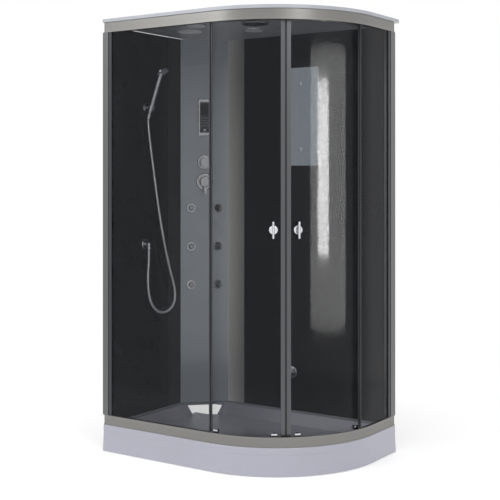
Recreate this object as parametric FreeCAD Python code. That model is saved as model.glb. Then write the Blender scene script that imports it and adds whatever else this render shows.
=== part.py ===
"""Corner steam shower cabin: offset quadrant tray, framed glass front with two curved
sliding doors, two black glass walls and a service column that holds the fittings.

Millimetres, +Z up. The origin is the middle of the footprint, at the floor. The corner of
the room is at the back left, and the two doors meet on the curve at the front right.
"""
import FreeCAD, Part
import math
import os
from FreeCAD import Vector

# ---------------------------------------------------------------- driving dimensions
LENGTH = 1200.0            # along the back wall
DEPTH = 800.0              # along the left wall
HEIGHT = 2100.0
CURVE_R = 550.0            # plan radius of the front right corner
ROOF_OVERHANG = 35.0       # roof past the back of the walls
CORNER_R = 20.0            # plan radius of the tray's small corners
PAST = 1.0                 # how far a cut runs past the face that it opens
JOIN = 2.0                 # how far joined forms of one piece run into each other
LEAST_R = 1.0              # smallest plan radius
TINY = 1e-6                # for picking edges by their place

FOOT_H = 37.0              # floor to the underside of the support frame
TUBE = 30.0                # square tube of the support frame
TUBE_WALL = 2.0
FOOT_R = 22.0
FOOT_TOP_R = 13.0
FOOT_PAD_H = 7.0
STUD_R = 5.0
NUT_R = 9.0
NUT_H = 8.0
FRAME_BACK_IN = 130.0      # long tubes of the frame, from the footprint's back and front
FRAME_FRONT_IN = 190.0
FRAME_END_IN = 60.0        # ends of the long tubes, from the footprint
FOOT_END_IN = 30.0         # foot from the end of its tube
CROSS_MID = 540.0          # middle cross tube, from the left side
CROSS_DRAIN = 130.0        # right cross tube, past the drain

TRAY_LIP_H = 32.0          # height of the rim's outer lip
TRAY_WALL = 5.0
TRAY_INSET = 4.0           # lip inside the footprint
LIP_ROUND = 6.0
BASIN_DEPTH = 57.0
BASIN_INSET = 62.0         # basin edge inside the footprint
BASIN_DRAFT = 22.0         # how far the basin's foot is inside its edge
BASIN_CORNER_R = 60.0
LEDGE = 27.0               # tray ledge in front of the column
APRON_CLEAR = 3.0          # apron above the floor
APRON_WALL = 4.0
APRON_DRAFT = 5.0
APRON_RETURN = 60.0        # apron's return round each end

RAIL_INSET = 8.0           # face of both rails inside the footprint
SILL_H = 46.3              # bottom rail
HEAD_H = 48.9              # top rail
RAIL_SKIN = 3.0
RAIL_WEB_IN = 26.0         # inner face of the rail's web, from the footprint
TRACK_IN = 35.5            # inner edge of the roller track, from the footprint
TRACK_DROP = 7.3           # bottom track below the top of the sill
RIB_DEPTH = 0.8
RIB_H = 1.6
RIB_PITCH = 8.0
RIBS = 3
RAIL_LIP = 1.6             # lip along the lower edge of each rail
RAIL_LIP_H = 4.0

ROOF_EDGE_H = 15.4         # visible edge of the roof
ROOF_SKIN = 4.0
SOFFIT_DROP = 36.0         # ceiling below the top
ROOF_DISH_INSET = 48.0     # wall of the roof's dish, from the footprint

GLASS = 5.0
FIXED_INSET = 15.0         # outer face of the fixed panes
DOOR_INSET = 37.0          # outer face of the door panes
FIXED_END = 8.0            # end of the straight pane before the curve
FIXED_RIGHT_DEG = 9.0      # part of the curve in the right pane
PANE_BITE = 12.0           # pane inside its post
PANE_GAP = 0.4
PANE_TOP_GAP = 10.0        # room over the fixed panes in the top rail
BEAD_W = 20.0
BEAD_T = 13.0
FIN_W = 4.5                # fin on a fixed pane's free edge
FIN_OUT = 1.5              # fin past the pane's two faces
FIN_IN = 4.5

POST_LEFT_W = 38.0
POST_LEFT_D = 35.0
POST_RIGHT_W = 53.0
POST_RIGHT_D = 35.0
POST_SKIN = 2.5
POST_ROUND = 8.0
POST_EDGE = 1.0            # rounding of a post's other corners
GROOVE_SKIN = 1.5          # lining of the grooves in the posts
GROOVE_END = 0.4           # room past the pane's or wall's edge in its groove
WALL_BITE = 9.6            # wall inside its post
SCREW_R = 4.0
SCREW_H = 2.2
SCREW_WALL_GAP = 12.0      # left post's screws from the hidden side of the wall
SCREW_EDGE = 9.0           # right post's screws from its edge
SCREW_SHARES = (0.06, 0.5, 0.94)  # places of the screws up the posts

WALL_IN = 35.0             # room face of the walls, inside the footprint
WALL_T = 6.0
WALL_FIT = 0.3
NOTCH_GAP = 0.5            # wall's notches past the posts
HOLE_GAP = 0.3             # round shanks in the walls
COLUMN_W = 256.0           # flat face of the column
COLUMN_FLANGE = 103.0
COLUMN_T = 3.0
COLUMN_ROUND = 10.0
COLUMN_EDGE = 0.5
COLUMN_LAP = 66.0          # column flange over the wall's edge

DOOR_TURN_MID = 38.5       # where the doors meet, degrees round the curve from the front
DOOR_LAP_DEG = 1.6         # door behind each fixed pane
STILE_W = 22.0
STILE_T = 14.0
STILE_GAP = 0.6            # half the gap where the doors meet
DOOR_CLEAR = 21.0          # door pane above the tray's rim
DOOR_TOP_DROP = 3.0        # door pane below the soffit
SEAL_W = 9.0
SEAL_T = 4.0
STILE_END = 1.0            # stile from the sill and the head
STILE_SKIN = 1.0
STILE_FIT = 0.1
WHEEL_R = 11.5
WHEEL_W = 6.0
WHEEL_OFF = 1.6            # wheel from the pane
AXLE_R = 3.0
AXLE_SHORT = 0.2           # axle's end from the back of the track
AXLE_CAP_R = 12.0
AXLE_CAP_L = 12.0
COLLAR_T = 1.9             # collar in the pane, over the axle
COLLAR_OUT = 1.2
BOLT_GAP = 0.1
WHEEL_END = 30.0           # wheel centre from the end of its door
WHEEL_RUN_GAP = 0.05
SHOE_W = 26.0
SHOE_UP = 10.0             # pin of the guide shoe over the bottom track
SHOE_RISE = 9.0
SHOE_GAP = 0.2
SHOE_OFF = 1.0             # shoe from the pane
SHOE_CAP_R = 9.0
SHOE_CAP_L = 10.0

HANDLE_LOW = 9.5           # handles below the middle of the opening
HANDLE_L = 77.0
HANDLE_BAR_R = 5.2
HANDLE_ROUND = 3.1
HANDLE_POST_R = 6.0
HANDLE_ROSE_R = 20.0
HANDLE_ROSE_T = 4.4
HANDLE_ROSE_ROUND = 2.5
HANDLE_BOLT_R = 4.0
HANDLE_BOLT_GAP = 1.0
HANDLE_KNOB_R = 13.0
HANDLE_KNOB_L = 18.0
WASHER_R = 12.0
WASHER_T = 0.6
HANDLE_STAND = 27.0        # bar centre from the glass
HANDLE_DEG = 6.2           # handle from where the doors meet
SEAT_GAP = 0.2             # flat fittings off the hollow side of a curved pane

DRAIN_X = 300.0            # drain from the middle of the length
DRAIN_Y = 70.0
DRAIN_R = 45.0
DRAIN_COVER_R = 57.0
SEAL_FLANGE = 2.0          # drain seal on the basin's floor
SEAL_FIT = 0.5             # seal's neck in its hole
COVER_T = 4.0
COVER_ROUND = 2.5
COVER_HOLES = 8
COVER_HOLE_R = 4.5
COVER_HOLES_AT = 22.0      # circle of the cover's holes
PLUG_H = 10.0
PLUG_GAP = 3.0
TRAP_R = 40.0
TRAP_WALL = 3.0
TRAP_DEPTH = 50.0
TRAP_LIP = 4.0
OUTLET_R = 20.0            # waste outlet
OUTLET_L = 60.0
OUTLET_WALL = 2.5
OUTLET_UP = 2.0            # outlet over the trap's underside
SHOULDER_T = 4.0           # shoulder that stops the waste pipe
SHOULDER_L = 15.0

PANEL_DROP = 450.0         # middle of the control panel below the top
PANEL_W = 68.0
PANEL_H = 196.0
PANEL_T = 9.0
PANEL_CORNER_R = 8.0
PANEL_ROUND = 2.5
SCREEN_W = 51.0
SCREEN_H = 162.0
SCREEN_T = 6.0
SCREEN_CORNER_R = 3.0
SCREEN_GAP = 0.2
SCREEN_SUNK = 0.8          # screen's face behind its frame's
BOARD_W = 33.0             # circuit box behind the screen
BOARD_H = 114.0
BOARD_BACK = 12.0
BOARD_GAP = 0.5
BOARD_ROOM = 1.5           # column's slot round the circuit box
KEY_W = 12.0
KEY_H = 9.0
KEY_TRAVEL = 1.2
KEY_UP = 13.5              # key's middle over the screen's lower edge
KEY_FLOOR = 1.0            # screen left behind the key
KEY_STOP = 1.0             # room behind the pressed key
KEY_ROUND = 0.6
KEY_GAP = 0.25             # round the key in its hole

DIVERTER_DROP = 238.0      # diverter below the panel
MIXER_DROP = 105.0         # mixer below the diverter
DIVERTER_ROSE_R = 39.0
MIXER_ROSE_R = 45.0
ROSE_T = 7.0
ROSE_ROUND = 4.9
ROSE_ROOM = 1.5            # rose's hole round the stem
DIVERTER_KNOB_R = 27.0
MIXER_HUB_R = 28.0
KNOB_L = 30.0
KNOB_LIFT = 0.5            # knob off its rose
KNOB_ROUND = 4.0
KNOB_SKIRT = 6.0           # part of the knob below its grips
HUB_ROUND = 6.0
GRIPS = 5
GRIP_R = 9.0
GRIP_OUT = 6.0
LEVER_L = 38.0
LEVER_W = 18.0
LEVER_TIP_W = 12.6
LEVER_T = 9.0
LEVER_IN = 8.0             # lever inside its hub
LEVER_SUNK = 3.0           # lever behind the hub's face
LEVER_ROUND = 5.0
STEM_R = 7.0
STEM_GAP = 0.08
STEM_IN = 18.0             # stem past its rose
STEM_ROOM = 4.0            # column's hole round the stem
VALVE_W = 56.0
VALVE_D = 46.0
VALVE_BACK = 14.0          # valve behind the column's face
VALVE_UP = 40.0            # valve block over the diverter and under the mixer
VALVE_DOWN = 45.0
VALVE_BOSS_R = 15.0

JET_X = 71.6               # jets from the middle of the column
JET_DROP = 139.0           # top jets below the mixer
JET_PITCH = 204.0
JET_ROWS = 3
JET_ROSE_R = 25.0
JET_ROSE_T = 6.0
JET_ROUND = 2.5
JET_BALL_R = 14.0
JET_GAP = 0.25
JET_BALL_OUT = 1.0         # ball's centre in front of the column's face
JET_SPOUT_R = 8.0
JET_SPOUT_END = 15.0       # spout's end in front of the column's face
JET_BORE_R = 2.5
JET_SEAT = 13.0            # depth of the ball's seat
JET_STOP = 1.0             # flat back of the ball from its seat
JET_NECK_R = 17.0
JET_NECK_L = 16.0
MANIFOLD_BACK = 30.0       # jet pipes behind the column's face
MANIFOLD_LOW = 14.0        # jet pipes past the lowest and the highest jets
MANIFOLD_HIGH = 40.0
PIPE_R = 6.0
PIPE_WALL = 2.0
BIG_PIPE_R = 8.0
ELBOW_SCALE = 1.35         # corner fitting's radius over its pipe's
INLET_R = 10.48            # half-inch male thread
INLET_L = 15.0
INLET_X = 45.0             # inlets from the column's middle line
INLET_BACK = 62.0          # inlets behind the column's face
INLET_Z = 560.0
INLET_END = 10.0           # inlets' ends inside the back of the roof
FEED_IN = 10.0             # supplies from the back of the valve block
PIPE_TURN = 60.0           # drop over which the supplies spread
OUTLET_FEED_UP = 20.0      # feed of the hand shower over the mixer
OUTLET_FEED_OUT = 14.0
PIPE_IN = 14.0             # pipes behind the walls, from the footprint

BRACKET_Y = 505.0          # shower bracket from the back corner, along the left wall
BRACKET_DROP = 415.0       # shower bracket below the top
BRACKET_OUT = 37.0         # cradle from the wall
BRACKET_ROSE_R = 22.0
BRACKET_ROSE_T = 8.0
BRACKET_CUP_R = 17.0
BRACKET_MOUTH = 16.4       # slot that lets the hose in
ARM_R = 9.0                # arms of the bracket and the outlet
FITTING_ROUND = 3.0        # rounded edges of roses and caps
HANDSET_LEAN = 20.0
HANDSET_TAIL = 38.0        # handset below the cradle
HANDSET_NECK = 119.0       # cradle to the neck
HANDSET_REACH = 192.0      # cradle to the head
HEAD_OUT = 8.0
HEAD_TILT = 38.0
HEAD_R = 31.0
HEAD_T = 14.0
HEAD_RIM = 5.6
BELL_R = 19.2
NECK_R = 10.2
HANDLE_R0 = 9.0
HANDLE_R1 = 12.0
CONE_LOW = -16.0           # ends of the handset's tapered seat, along its axis from the cradle
CONE_HIGH = 12.0
CONE_SLOPE = 0.08
CONE_STEP = 1.5            # seat's small end over the tail
CONE_GAP = 0.25
OUTLET_Y = 512.0           # wall outlet from the back corner
OUTLET_LOWER = 693.0       # wall outlet below the bracket
OUTLET_ROSE_R = 25.0
OUTLET_ROSE_T = 7.0
OUTLET_SHANK_R = 10.0
OUTLET_OUT = 28.0          # outlet's spout from the wall
OUTLET_DROP = 24.0
HOSE_NUT_R = 10.5
HOSE_NUT_L = 10.0
HOSE_R = 7.0
HOSE_START = 24.0          # straight ends of the hose
HOSE_FINISH = 62.0
BEND_SHARE = 0.45          # part of each straight that a bend takes
HOSE_ROUTE = (             # from the two walls of the corner, and below the bracket
    (52.0, 501.0, 112.0),
    (56.0, 489.0, 210.0),
    (62.0, 466.0, 365.0),
    (64.0, 433.0, 533.0),
    (64.0, 391.0, 695.0),
    (64.0, 345.0, 830.0),
    (64.0, 296.0, 950.0),
    (64.0, 309.0, 1021.0),
    (64.0, 371.0, 1053.0),
    (64.0, 444.0, 1045.0),
    (64.0, 500.0, 994.0),
    (64.0, 521.0, 919.0),
    (64.0, 521.0, 833.0),
)

MIRROR_X = 683.0           # mirror's middle from the corner, along the back wall
MIRROR_DROP = 459.0        # mirror's middle below the top
MIRROR_W = 200.0
MIRROR_H = 500.0
MIRROR_T = 5.0
MIRROR_OFF = 6.0           # mirror's back from the wall
MIRROR_CORNER_R = 6.0
MIRROR_SCREW_IN = 82.0     # screws from the mirror's ends
MIRROR_SHANK_R = 3.0
MIRROR_SPACER_R = 8.0
MIRROR_CAP_R = 9.0
MIRROR_CAP_T = 5.0
MIRROR_CAP_ROUND = 2.0

RAIN_X = 705.0             # rain head, from the corner along the two walls
RAIN_Y = 505.0
RAIN_R = 64.0
RAIN_ROUND = 2.0
RAIN_COLLAR_R = 35.0
RAIN_COLLAR_H = 3.0
RAIN_NECK_R = 10.5
RAIN_NECK_UP = 6.0         # rain head's neck over the ceiling panel
RAIN_DROP_R = 11.0         # fitting over that neck
RAIN_ROWS = ((1, 0.0), (8, 16.0), (14, 32.0), (20, 48.0))  # count and radius
DIMPLE_R = 1.6
DIMPLE_DEPTH = 1.5
ATTIC_CLEAR = 2.0          # pipe over the top of that neck
LAMP_X = 420.0
LAMP_Y = 585.0
LAMP_R = 45.0
LAMP_ROUND = 5.0
LAMP_BODY_H = 14.0
FAN_X = 260.0
FAN_Y = 430.0
FAN_R = 52.0
FAN_SKIN = 2.5
FAN_DUCT_H = 26.0          # duct over the ceiling panel
FAN_FLANGE_W = 10.0
FAN_FLANGE_T = 4.0
FAN_AXLE_L = 22.0
GRILLE_T = 3.0
GRILLE_ARMS = 3
GRILLE_ARM_W = 4.0
GRILLE_HUB_R = 9.0
HOOPS = 3
HOOP_R0 = 14.0
HOOP_PITCH = 12.0
HOOP_W = 3.0
IMPELLER_UP = 3.0
IMPELLER_H = 14.0
IMPELLER_HUB_R = 14.0
BLADES = 7
BLADE_T = 2.0
BLADE_ROOT = 4.0           # blade inside the hub
BLADE_TIP_GAP = 3.5
BLADE_DEG = 45.0
SPEAKER_X = 560.0
SPEAKER_Y = 300.0
SPEAKER_R = 46.0
SPEAKER_T = 6.0
SPEAKER_BODY_H = 20.0
SPEAKER_RIM = 8.0          # plain rim round the slots
SPEAKER_SLOTS = 9
SPEAKER_PITCH = 8.0
SPEAKER_SLOT_W = 3.0
SPEAKER_SLOT_DEPTH = 2.0
CEILING_T = 9.0            # how far ceiling fittings hang below the soffit
CEILING_FLANGE = 8.5       # ceiling fitting's face past its body
CEILING_GAP = 0.5          # bodies in the ceiling's holes

STEAM_W = 100.0            # steam generator, square in plan
STEAM_H = 350.0
STEAM_GAP = 8.0
STEAM_X = 620.0            # steam outlet from the corner, along the back wall
STEAM_Z = 330.0
STEAM_R = 30.0
STEAM_ROUND = 8.0
STEAM_ROSE_T = 6.0
STEAM_NECK_R = 15.0
STEAM_BORE_R = 4.0
HOOD_R = 18.0
HOOD_WALL = 3.0
HOOD_L = 16.0
HOOD_MOUTH = 10.0
HOOD_MOUTH_LOW = 6.0

# ---------------------------------------------------------------- derived places
X_LEFT = -LENGTH / 2
X_RIGHT = LENGTH / 2
Y_FRONT = -(DEPTH + ROOF_OVERHANG) / 2
Y_BACK = Y_FRONT + DEPTH
ARC_X = X_RIGHT - CURVE_R
ARC_Y = Y_FRONT + CURVE_R
TUBE_TOP = FOOT_H + TUBE
UNDERSIDE = TUBE_TOP
BASIN_Z = UNDERSIDE + TRAY_WALL
TRAY_RIM_Z = BASIN_Z + BASIN_DEPTH
SILL_TOP = TRAY_RIM_Z + SILL_H
ROOF_Z = HEIGHT - ROOF_EDGE_H
SOFFIT_Z = HEIGHT - SOFFIT_DROP
HEAD_Z = ROOF_Z - HEAD_H
TRACK_LOW = SILL_TOP - TRACK_DROP
TRACK_HIGH = HEAD_Z + RAIL_SKIN
DOOR_BOTTOM_Z = TRAY_RIM_Z + DOOR_CLEAR
DOOR_TOP_Z = SOFFIT_Z - DOOR_TOP_DROP
DOOR_R = CURVE_R - DOOR_INSET
FIXED_R = CURVE_R - FIXED_INSET
MEET = DOOR_TURN_MID - 90.0
FACET = COLUMN_W / math.sqrt(2.0)
COLUMN_FACE = WALL_IN + COLUMN_T
FACET_MID = COLUMN_FACE + FACET / 2
WALL_TOP = SOFFIT_Z - WALL_FIT
COLUMN_END = COLUMN_FACE + FACET + COLUMN_FLANGE
WALL_START = COLUMN_END - COLUMN_LAP
HANDLE_Z = (SILL_TOP + HEAD_Z) / 2 - HANDLE_LOW
PANEL_Z = HEIGHT - PANEL_DROP
DIVERTER_Z = PANEL_Z - DIVERTER_DROP
MIXER_Z = DIVERTER_Z - MIXER_DROP
JET_Z = [MIXER_Z - JET_DROP - i * JET_PITCH for i in range(JET_ROWS)]
VALVE_HIGH_Z = DIVERTER_Z + VALVE_UP
VALVE_LOW_Z = MIXER_Z - VALVE_DOWN
BRACKET_Z = HEIGHT - BRACKET_DROP
OUTLET_Z = BRACKET_Z - OUTLET_LOWER
MIRROR_Z = HEIGHT - MIRROR_DROP
UP = Vector(0, 0, 1)


# ---------------------------------------------------------------- geometry helpers
def block(x0, x1, y0, y1, z0, z1):
    """Box between two corners."""
    return Part.makeBox(x1 - x0, y1 - y0, z1 - z0, Vector(x0, y0, z0))


def rod(radius, start, end):
    """Cylinder from one point to another."""
    axis = end - start
    return Part.makeCylinder(radius, axis.Length, start, axis)


def pipe(radius, points, fittings=()):
    """Straight pipes joined by round fittings at their corners, with end fittings, as one solid."""
    pieces = [rod(radius, points[0], points[1])] + list(fittings)
    wide = radius * ELBOW_SCALE
    for near, far in zip(points[1:], points[2:]):
        pieces.append(Part.makeCylinder(wide, 2 * wide, near - UP * wide))
        pieces.append(rod(radius, near, far))
    return pieces[0].multiFuse(pieces[1:])


def fused(shapes):
    """One solid from overlapping shapes."""
    return shapes[0].multiFuse(shapes[1:]).removeSplitter()


def placed(shape, turn=0.0, x=0.0, y=0.0, z=0.0):
    """Shape turned about the vertical through the origin, then moved."""
    moved = shape.copy()
    moved.rotate(Vector(0, 0, 0), UP, turn)
    moved.translate(Vector(x, y, z))
    return moved


def rounded_wire(points, radii, z):
    """Closed polygon at height z with each corner rounded by its own radius."""
    count = len(points)
    starts, middles, ends = [], [], []
    for i, (px, py) in enumerate(points):
        here = Vector(px, py, z)
        back = (Vector(*points[i - 1], z) - here).normalize()
        ahead = (Vector(*points[(i + 1) % count], z) - here).normalize()
        half = back.getAngle(ahead) / 2
        run = radii[i] / math.tan(half)
        bisector = (back + ahead).normalize()
        centre = here + bisector * (radii[i] / math.sin(half))
        starts.append(here + back * run)
        ends.append(here + ahead * run)
        middles.append(centre - bisector * radii[i])
    edges = []
    for i in range(count):
        edges.append(Part.Arc(starts[i], middles[i], ends[i]).toShape())
        following = starts[(i + 1) % count]
        if (following - ends[i]).Length > TINY:
            edges.append(Part.LineSegment(ends[i], following).toShape())
    return Part.Wire(edges)


def prism(wire, height):
    """Solid above a closed flat wire."""
    return Part.Face(wire).extrude(Vector(0, 0, height))


def outline(inset, z, overhang=0.0):
    """The cabin's footprint, drawn in by an inset, with an overhang at the back."""
    small = max(CORNER_R - inset, LEAST_R)
    left, right = X_LEFT + inset, X_RIGHT - inset
    front, back = Y_FRONT + inset, Y_BACK - inset + overhang
    corners = [(left, back), (right, back), (right, front), (left, front)]
    return rounded_wire(corners, [small, small, CURVE_R - inset, small], z)


def ring(outer, inner, z0, z1):
    """Wall that follows the footprint between two insets."""
    return prism(outline(outer, z0), z1 - z0).cut(prism(outline(inner, z0), z1 - z0))


def front_part(shape, inner):
    """Keep the run along the front, the curve and the right side only."""
    far = Y_BACK + DEPTH
    left_side = block(X_LEFT - PAST, X_LEFT + inner + PAST, Y_FRONT + inner, Y_BACK + PAST, 0, HEIGHT)
    back_side = block(X_LEFT - PAST, X_RIGHT - inner, Y_BACK - inner - PAST, far, 0, HEIGHT)
    return shape.cut(left_side).cut(back_side)


def arc_plate(r0, r1, a0, a1, z0, z1):
    """Curved plate about the centre of the front curve, angles from +X in degrees."""
    def spot(radius, angle):
        turn = math.radians(angle)
        return Vector(ARC_X + radius * math.cos(turn), ARC_Y + radius * math.sin(turn), z0)

    middle = (a0 + a1) / 2
    edges = [
        Part.Arc(spot(r0, a0), spot(r0, middle), spot(r0, a1)).toShape(),
        Part.LineSegment(spot(r0, a1), spot(r1, a1)).toShape(),
        Part.Arc(spot(r1, a1), spot(r1, middle), spot(r1, a0)).toShape(),
        Part.LineSegment(spot(r1, a0), spot(r0, a0)).toShape(),
    ]
    return prism(Part.Wire(edges), z1 - z0)


def on_curve(shape, angle):
    """From a frame whose -Y points away from the curve's centre, to its place."""
    return placed(shape, 90.0 + angle, ARC_X, ARC_Y)


def on_column(shape):
    """From the column's own frame: X along its face, -Y into the cabin."""
    return placed(shape, 45.0, X_LEFT + FACET_MID, Y_BACK - FACET_MID)


def column_point(x, y, z):
    """Point given in the column's own frame."""
    return on_column(Part.Vertex(x, y, z)).Point


def on_left_wall(shape, from_corner):
    """From a frame whose -Y points into the cabin, to the left wall's face."""
    return placed(shape, 90.0, X_LEFT + WALL_IN, Y_BACK - from_corner)


def on_back_wall(shape, from_corner):
    """From a frame whose -Y points into the cabin, to the back wall's face."""
    return placed(shape, 0.0, X_LEFT + from_corner, Y_BACK - WALL_IN)


def plan(x, y, z):
    """Point given by its distances from the two outer walls of the corner."""
    return Vector(X_LEFT + x, Y_BACK - y, z)


def disc(radius, y0, y1, x=0.0, z=0.0):
    """Round plate square to Y."""
    return rod(radius, Vector(x, y0, z), Vector(x, y1, z))


def domed(radius, y0, y1, x, z, edge):
    """Round plate square to Y whose end at y1 has a rounded edge."""
    plate = disc(radius, y0, y1, x, z)
    rim = [e for e in plate.Edges if abs(e.CenterOfMass.y - y1) < TINY and len(e.Vertexes) == 1]
    return plate.makeFillet(edge, rim)


def edges_at(shape, z):
    """Edges of a shape whose lowest point is at a height."""
    return [e for e in shape.Edges if abs(e.BoundBox.ZMin - z) < TINY]


def rounded_low(plate, z, edge):
    """Plate whose lower edge, at a height, is rounded."""
    return plate.makeFillet(edge, [e for e in plate.Edges if abs(e.BoundBox.ZMax - z) < TINY])


def rectangle(width, height, corner, z):
    """Closed wire round a rectangle about the origin."""
    w, h = width / 2, height / 2
    return rounded_wire([(-w, h), (w, h), (w, -h), (-w, -h)], [corner] * 4, z)


def stood(shape, y, z):
    """Shape drawn on the ground, stood up with its top to -Y."""
    moved = shape.copy()
    moved.rotate(Vector(0, 0, 0), Vector(1, 0, 0), 90.0)
    moved.translate(Vector(0, y, z))
    return moved


# ---------------------------------------------------------------- base
def basin_wire(inset, z):
    """Edge of the basin: the footprint drawn in, with the column's corner cut off."""
    far = 2 * FACET_MID + LEDGE * math.sqrt(2.0) - inset
    left, right = X_LEFT + inset, X_RIGHT - inset
    front, back = Y_FRONT + inset, Y_BACK - inset
    corners = [
        (left, Y_BACK - far),
        (X_LEFT + far, back),
        (right, back),
        (right, front),
        (left, front),
    ]
    small = BASIN_CORNER_R
    return rounded_wire(corners, [small, small, small, CURVE_R - inset, small], z)


def make_tray():
    top, low = TRAY_RIM_Z, TRAY_RIM_Z - TRAY_LIP_H
    slab = prism(outline(TRAY_INSET, low), TRAY_LIP_H)
    slab = slab.makeFillet(LIP_ROUND, edges_at(slab, top))
    slab = slab.cut(prism(outline(TRAY_INSET + TRAY_WALL, low), TRAY_LIP_H - TRAY_WALL))
    slope = BASIN_DRAFT / BASIN_DEPTH
    foot = BASIN_INSET + BASIN_DRAFT
    bowl = Part.makeLoft([basin_wire(BASIN_INSET, top), basin_wire(foot, BASIN_Z)], True, True)
    shell_foot = foot - TRAY_WALL + slope * TRAY_WALL
    shell_top = BASIN_INSET - TRAY_WALL
    shell = Part.makeLoft([basin_wire(shell_top, top), basin_wire(shell_foot, UNDERSIDE)], True, True)
    tray = slab.fuse(shell).cut(bowl).removeSplitter()
    drain = Vector(DRAIN_X, DRAIN_Y, UNDERSIDE - PAST)
    return tray.cut(Part.makeCylinder(DRAIN_R, TRAY_WALL + 2 * PAST, drain))


def make_apron():
    low, top = APRON_CLEAR, TRAY_RIM_Z - TRAY_LIP_H

    def shell(step):
        wires = [outline(step, low), outline(APRON_DRAFT + step, top)]
        return Part.makeLoft(wires, True, True)

    panel = shell(0.0).cut(shell(APRON_WALL))
    deep = APRON_WALL + APRON_DRAFT + CORNER_R
    left = block(X_LEFT - PAST, X_LEFT + deep, Y_FRONT + APRON_RETURN, Y_BACK + PAST, 0, top)
    back = block(X_LEFT - PAST, X_RIGHT - APRON_RETURN, Y_BACK - deep, Y_BACK + PAST, 0, top)
    return panel.cut(left).cut(back)


def frame_lines():
    """Lines of the two long tubes, with their right ends, and of the three cross tubes."""
    back_y = Y_BACK - FRAME_BACK_IN
    front_y = Y_FRONT + FRAME_FRONT_IN
    reach = math.sqrt(CURVE_R ** 2 - (ARC_Y - front_y) ** 2)
    ends = {back_y: X_RIGHT - FRAME_END_IN, front_y: ARC_X + reach - FRAME_END_IN}
    cross = (X_LEFT + FRAME_END_IN + FOOT_END_IN, X_LEFT + CROSS_MID, DRAIN_X + CROSS_DRAIN)
    return back_y, front_y, ends, cross


def square_tube(start, end, along_x):
    """Hollow square tube between two points at the frame's height."""
    half, hole = TUBE / 2, TUBE / 2 - TUBE_WALL
    (x0, y0), (x1, y1) = start, end
    if along_x:
        outer = block(x0, x1, y0 - half, y0 + half, FOOT_H, TUBE_TOP)
        bore = block(x0, x1, y0 - hole, y0 + hole, FOOT_H + TUBE_WALL, TUBE_TOP - TUBE_WALL)
    else:
        outer = block(x0 - half, x0 + half, y0, y1, FOOT_H, TUBE_TOP)
        bore = block(x0 - hole, x0 + hole, y0, y1, FOOT_H + TUBE_WALL, TUBE_TOP - TUBE_WALL)
    return outer.cut(bore)


def make_support_frame():
    back_y, front_y, ends, cross = frame_lines()
    tubes = []
    for y in (back_y, front_y):
        tubes.append(square_tube((X_LEFT + FRAME_END_IN, y), (ends[y], y), True))
    for x in cross:
        tubes.append(square_tube((x, front_y + TUBE / 2), (x, back_y - TUBE / 2), False))
    return Part.makeCompound(tubes)


def foot_spots():
    back_y, front_y, ends, cross = frame_lines()
    spots = []
    for y in (back_y, front_y):
        for x in (cross[0], cross[1], ends[y] - FOOT_END_IN):
            spots.append((x, y))
    return spots


def make_feet():
    feet = []
    for x, y in foot_spots():
        pad = Part.makeCone(FOOT_R, FOOT_TOP_R, FOOT_PAD_H, Vector(x, y, 0))
        stud = rod(STUD_R, Vector(x, y, FOOT_PAD_H), Vector(x, y, FOOT_H))
        nut = Part.makeCylinder(NUT_R, NUT_H, Vector(x, y, FOOT_H - NUT_H))
        feet.append(fused([pad, stud, nut]))
    return Part.makeCompound(feet)


def make_trap():
    """Cup under the drain, whose waste outlet has a shoulder that stops the waste pipe."""
    centre = Vector(DRAIN_X, DRAIN_Y, 0)
    cup_low = UNDERSIDE - TRAP_DEPTH
    cup = Part.makeCylinder(TRAP_R, TRAP_DEPTH, centre + UP * cup_low)
    lip = Part.makeCylinder(DRAIN_COVER_R, TRAP_LIP, centre + UP * (UNDERSIDE - TRAP_LIP))
    middle = centre + UP * (cup_low + OUTLET_R + OUTLET_UP)
    along = Vector(0, 1, 0)
    end = TRAP_R + OUTLET_L
    spigot = rod(OUTLET_R, middle, middle + along * end)
    root = middle + along * (TRAP_R - TRAP_WALL / 2)
    shoulder = rod(OUTLET_R + SHOULDER_T, root, middle + along * (TRAP_R + SHOULDER_L))
    body = fused([cup, lip, spigot, shoulder])
    body = body.cut(Part.makeCylinder(TRAP_R - TRAP_WALL, TRAP_DEPTH, centre + UP * (cup_low + TRAP_WALL)))
    return body.cut(rod(OUTLET_R - OUTLET_WALL, middle, middle + along * (end + PAST)))


def make_drain_seal():
    base = Vector(DRAIN_X, DRAIN_Y, BASIN_Z)
    flange = Part.makeCylinder(DRAIN_COVER_R, SEAL_FLANGE, base)
    neck = Part.makeCylinder(DRAIN_R - SEAL_FIT, TRAY_WALL, base - UP * TRAY_WALL)
    tall = SEAL_FLANGE + TRAY_WALL + 2 * PAST
    bore = Part.makeCylinder(TRAP_R - TRAP_WALL, tall, base - UP * (TRAY_WALL + PAST))
    return fused([flange, neck]).cut(bore)


def make_drain_cover():
    base = Vector(DRAIN_X, DRAIN_Y, BASIN_Z + SEAL_FLANGE)
    cap = Part.makeCylinder(DRAIN_COVER_R, COVER_T, base)
    cap = cap.makeFillet(COVER_ROUND, edges_at(cap, base.z + COVER_T))
    plug = Part.makeCylinder(TRAP_R - TRAP_WALL - PLUG_GAP, PLUG_H, base - UP * PLUG_H)
    holes = []
    for i in range(COVER_HOLES):
        turn = 2 * math.pi * (i + 0.5) / COVER_HOLES
        spot = base + Vector(math.cos(turn), math.sin(turn), 0) * COVER_HOLES_AT
        tall = PLUG_H + COVER_T + 2 * PAST
        holes.append(Part.makeCylinder(COVER_HOLE_R, tall, spot - UP * (PLUG_H + PAST)))
    return fused([cap, plug]).cut(Part.makeCompound(holes))


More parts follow.
